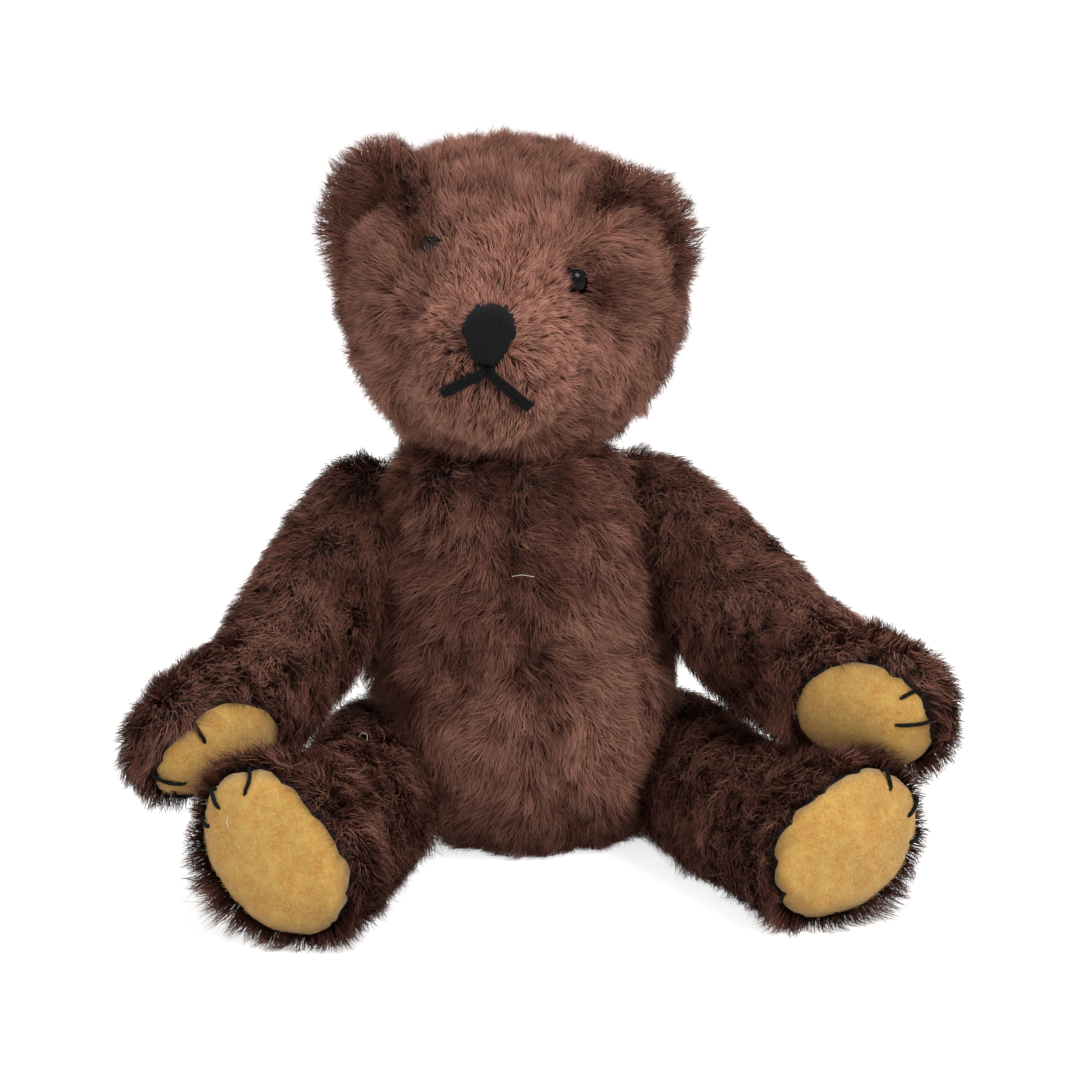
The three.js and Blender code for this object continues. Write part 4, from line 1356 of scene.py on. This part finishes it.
class BEAR_OT_nose(bpy.types.Operator):
    """Sews the nose, upright satin stitches side by side"""

    bl_idname = "bear.nose"
    bl_label = "Nose"

    def execute(self, context):
        thick = context.scene.bear_thread.nose
        tree = tree_of(["nose"])
        own = head_local(points_of(frame["nodes"]["nose"].data))
        (low_x, low_y, low_z), (high_x, _, high_z) = own.min(0), own.max(0)
        middle = (low_x + high_x) / 2
        half, tall = (high_x - low_x) / 2, (high_z - low_z) / 2
        inner = Vector((middle, (low_y + own[:, 1].max()) / 2, (low_z + high_z) / 2))
        chance = np.random.default_rng(5)
        lines = []
        for share in np.linspace(-0.96, 0.96, 23):
            reach = tall * math.sqrt(1 - share**2) * chance.uniform(0.985, 1.02)
            centre = (low_z + high_z) / 2
            line = []
            for step in np.linspace(-1, 1, 16):
                lean = 1 - 0.06 * ease(step, 0.3, 1.0) - 0.34 * ease(-step, -0.2, 1.0)
                spot = HEAD_FRAME @ Vector(
                    (middle + half * share * lean, low_y - 20 * MM, centre + reach * step)
                )
                way = HEAD_FRAME.to_3x3() @ Vector((0, 1, 0))
                place = tree.ray_cast(spot, way)[0]
                if place is not None:
                    line.append(place - way * (0.35 + 0.7 * (1 - step**2) + chance.uniform(0, 0.12)) * MM)
            if len(line) > 3:
                inward = HEAD_FRAME.to_3x3() @ Vector((0, 2.2 * MM, 0))
                line = [line[0] + inward] + line + [line[-1] + inward]
                lines.append(smooth_line(np.array(line), 30))
        stitches = thread_piece("nose_stitches", lines, thick * 0.5)
        base = joined(["nose"], "nose_base")
        core = base.data
        core.transform(HEAD_FRAME.inverted())
        core.transform(
            Matrix.Translation(inner)
            @ Matrix.Diagonal((0.84, 1, 0.86, 1))
            @ Matrix.Translation(-inner)
        )
        core.transform(HEAD_FRAME)
        finish_piece(stitches, once(thread_finish), "black_thread", "head", "nose")
        finish_piece(base, once(thread_finish), "black_thread", "head")
        return {"FINISHED"}


class BEAR_OT_lint(bpy.types.Operator):
    """Lays a few pale lint fibres on the pile"""

    bl_idname = "bear.lint"
    bl_label = "Lint"

    def execute(self, context):
        for name, (body, points) in LINT.items():
            line = smooth_line(np.array(points) * MM, 20)
            piece = thread_piece(name + "_lint", [line], 0.09 * MM)
            finish_piece(piece, once(lint_finish), "felt", body)
        return {"FINISHED"}


class BEAR_OT_inner_parts(bpy.types.Operator):
    """Gives the joint discs and the cotter pins their finish"""

    bl_idname = "bear.inner_parts"
    bl_label = "Discs and pins"

    def execute(self, context):
        for name, node in frame["nodes"].items():
            make = board_finish if "disc" in name else steel_finish if name.endswith("_pin") else None
            if make:
                node.material_slots[0].material = once(make)
        return {"FINISHED"}


# ---------------------------------------------------------------- stage


def backdrop(strength):
    """A light shader for what the camera, gloss and glass see."""
    world = bpy.data.worlds.new("studio")
    bpy.context.scene.world = world
    world.use_nodes = True
    nodes, links = world.node_tree.nodes, world.node_tree.links
    nodes.clear()
    seen = seen_directly(nodes, links)
    around = nodes.new("ShaderNodeBackground")
    around.inputs["Color"].default_value = (1, 0.985, 0.965, 1)
    around.inputs["Strength"].default_value = strength
    white = nodes.new("ShaderNodeBackground")
    white.inputs["Color"].default_value = (1, 1, 1, 1)
    mixed = nodes.new("ShaderNodeMixShader")
    out = nodes.new("ShaderNodeOutputWorld")
    links.new(seen, mixed.inputs[0])
    links.new(around.outputs[0], mixed.inputs[1])
    links.new(white.outputs[0], mixed.inputs[2])
    links.new(mixed.outputs[0], out.inputs[0])


def seen_directly(nodes, links):
    """1 for rays that should see the white background."""
    path = nodes.new("ShaderNodeLightPath")
    first = nodes.new("ShaderNodeMath")
    second = nodes.new("ShaderNodeMath")
    first.operation = second.operation = "MAXIMUM"
    links.new(path.outputs["Is Camera Ray"], first.inputs[0])
    links.new(path.outputs["Is Glossy Ray"], first.inputs[1])
    links.new(first.outputs[0], second.inputs[0])
    links.new(path.outputs["Is Transmission Ray"], second.inputs[1])
    return second.outputs[0]


def floor_finish():
    """White paper: its own colour, and a lift to white where the camera looks straight at it."""
    paper = bpy.data.materials.new("floor_paper")
    paper.use_nodes = True
    nodes, links = paper.node_tree.nodes, paper.node_tree.links
    nodes.clear()
    matte = nodes.new("ShaderNodeBsdfDiffuse")
    matte.inputs["Color"].default_value = (0.62, 0.62, 0.62, 1)
    glow = nodes.new("ShaderNodeEmission")
    glow.inputs["Color"].default_value = (1, 1, 1, 1)
    lift = nodes.new("ShaderNodeMath")
    lift.operation = "MULTIPLY"
    lift.inputs[1].default_value = 0.8
    links.new(seen_directly(nodes, links), lift.inputs[0])
    links.new(lift.outputs[0], glow.inputs["Strength"])
    both = nodes.new("ShaderNodeAddShader")
    out = nodes.new("ShaderNodeOutputMaterial")
    links.new(matte.outputs[0], both.inputs[0])
    links.new(glow.outputs[0], both.inputs[1])
    links.new(both.outputs[0], out.inputs[0])
    return paper


def lamp(name, place, target, size, power):
    """A large soft lamp."""
    data = bpy.data.lights.new(name, "AREA")
    data.shape, data.size, data.energy = "DISK", size, power
    made = bpy.data.objects.new(name, data)
    bpy.context.scene.collection.objects.link(made)
    made.location = place
    made.rotation_euler = (Vector(target) - Vector(place)).to_track_quat("-Z", "Y").to_euler()


class BEAR_OT_stage(bpy.types.Operator):
    """Sets up the floor, the lamps and the camera"""

    bl_idname = "bear.stage"
    bl_label = "Stage"

    def execute(self, context):
        settings = context.scene.bear_stage
        shape = bmesh.new()
        bmesh.ops.create_grid(shape, x_segments=1, y_segments=1, size=6)
        floor = new_piece("floor", mesh_of(shape, "floor"))
        floor.data.materials.append(floor_finish())
        backdrop(settings.surround)
        middle = (0, -0.03, 0.09)
        lamp("main_lamp", (0.7, -1.05, 1.15), middle, 0.7, settings.key)
        lamp("fill_lamp", (-1.2, -0.8, 0.6), middle, 0.9, settings.fill)
        lamp("top_lamp", (0.1, 0.35, 1.3), middle, 0.9, settings.top)
        data = bpy.data.cameras.new("camera")
        data.sensor_width, data.lens = 36, 115.3
        camera = bpy.data.objects.new("camera", data)
        context.scene.collection.objects.link(camera)
        place, target = Vector((-0.0897, -0.8786, 0.2513)), Vector((0.0026, 0, 0.0796))
        camera.location = place
        camera.rotation_euler = (target - place).to_track_quat("-Z", "Y").to_euler()
        context.scene.camera = camera
        context.scene.view_settings.view_transform = "Standard"
        return {"FINISHED"}


class BEAR_PT_maker(bpy.types.Panel):
    """The bear's steps and sizes"""

    bl_idname = "BEAR_PT_maker"
    bl_label = "Jointed teddy bear"
    bl_space_type = "VIEW_3D"
    bl_region_type = "UI"
    bl_category = "Bear"

    def draw(self, context):
        for name in SETTINGS:
            group = getattr(context.scene, name)
            box = self.layout.box()
            for prop in group.bl_rna.properties:
                if prop.identifier not in ("rna_type", "name"):
                    box.prop(group, prop.identifier)
        for step in STEPS:
            self.layout.operator(step.bl_idname)


SETTINGS = {
    "bear_cover": BearCoverSettings,
    "bear_pile": BearPileSettings,
    "bear_felt": BearFeltSettings,
    "bear_thread": BearThreadSettings,
    "bear_stage": BearStageSettings,
}
STEPS = (
    BEAR_OT_stage,
    BEAR_OT_covers,
    BEAR_OT_ears,
    BEAR_OT_felt_pads,
    BEAR_OT_felt_nap,
    BEAR_OT_eyes,
    BEAR_OT_nose,
    BEAR_OT_mouth,
    BEAR_OT_claws,
    BEAR_OT_lint,
    BEAR_OT_inner_parts,
    BEAR_OT_pile,
)


def register():
    for made in (*SETTINGS.values(), *STEPS, BEAR_PT_maker):
        bpy.utils.register_class(made)
    for name, group in SETTINGS.items():
        setattr(bpy.types.Scene, name, PointerProperty(type=group))


def unregister():
    for name in SETTINGS:
        delattr(bpy.types.Scene, name)
    for made in reversed((*SETTINGS.values(), *STEPS, BEAR_PT_maker)):
        bpy.utils.unregister_class(made)


def main():
    register()
    for step in STEPS:
        group, name = step.bl_idname.split(".")
        getattr(getattr(bpy.ops, group), name)()


if __name__ == "__main__":
    main()
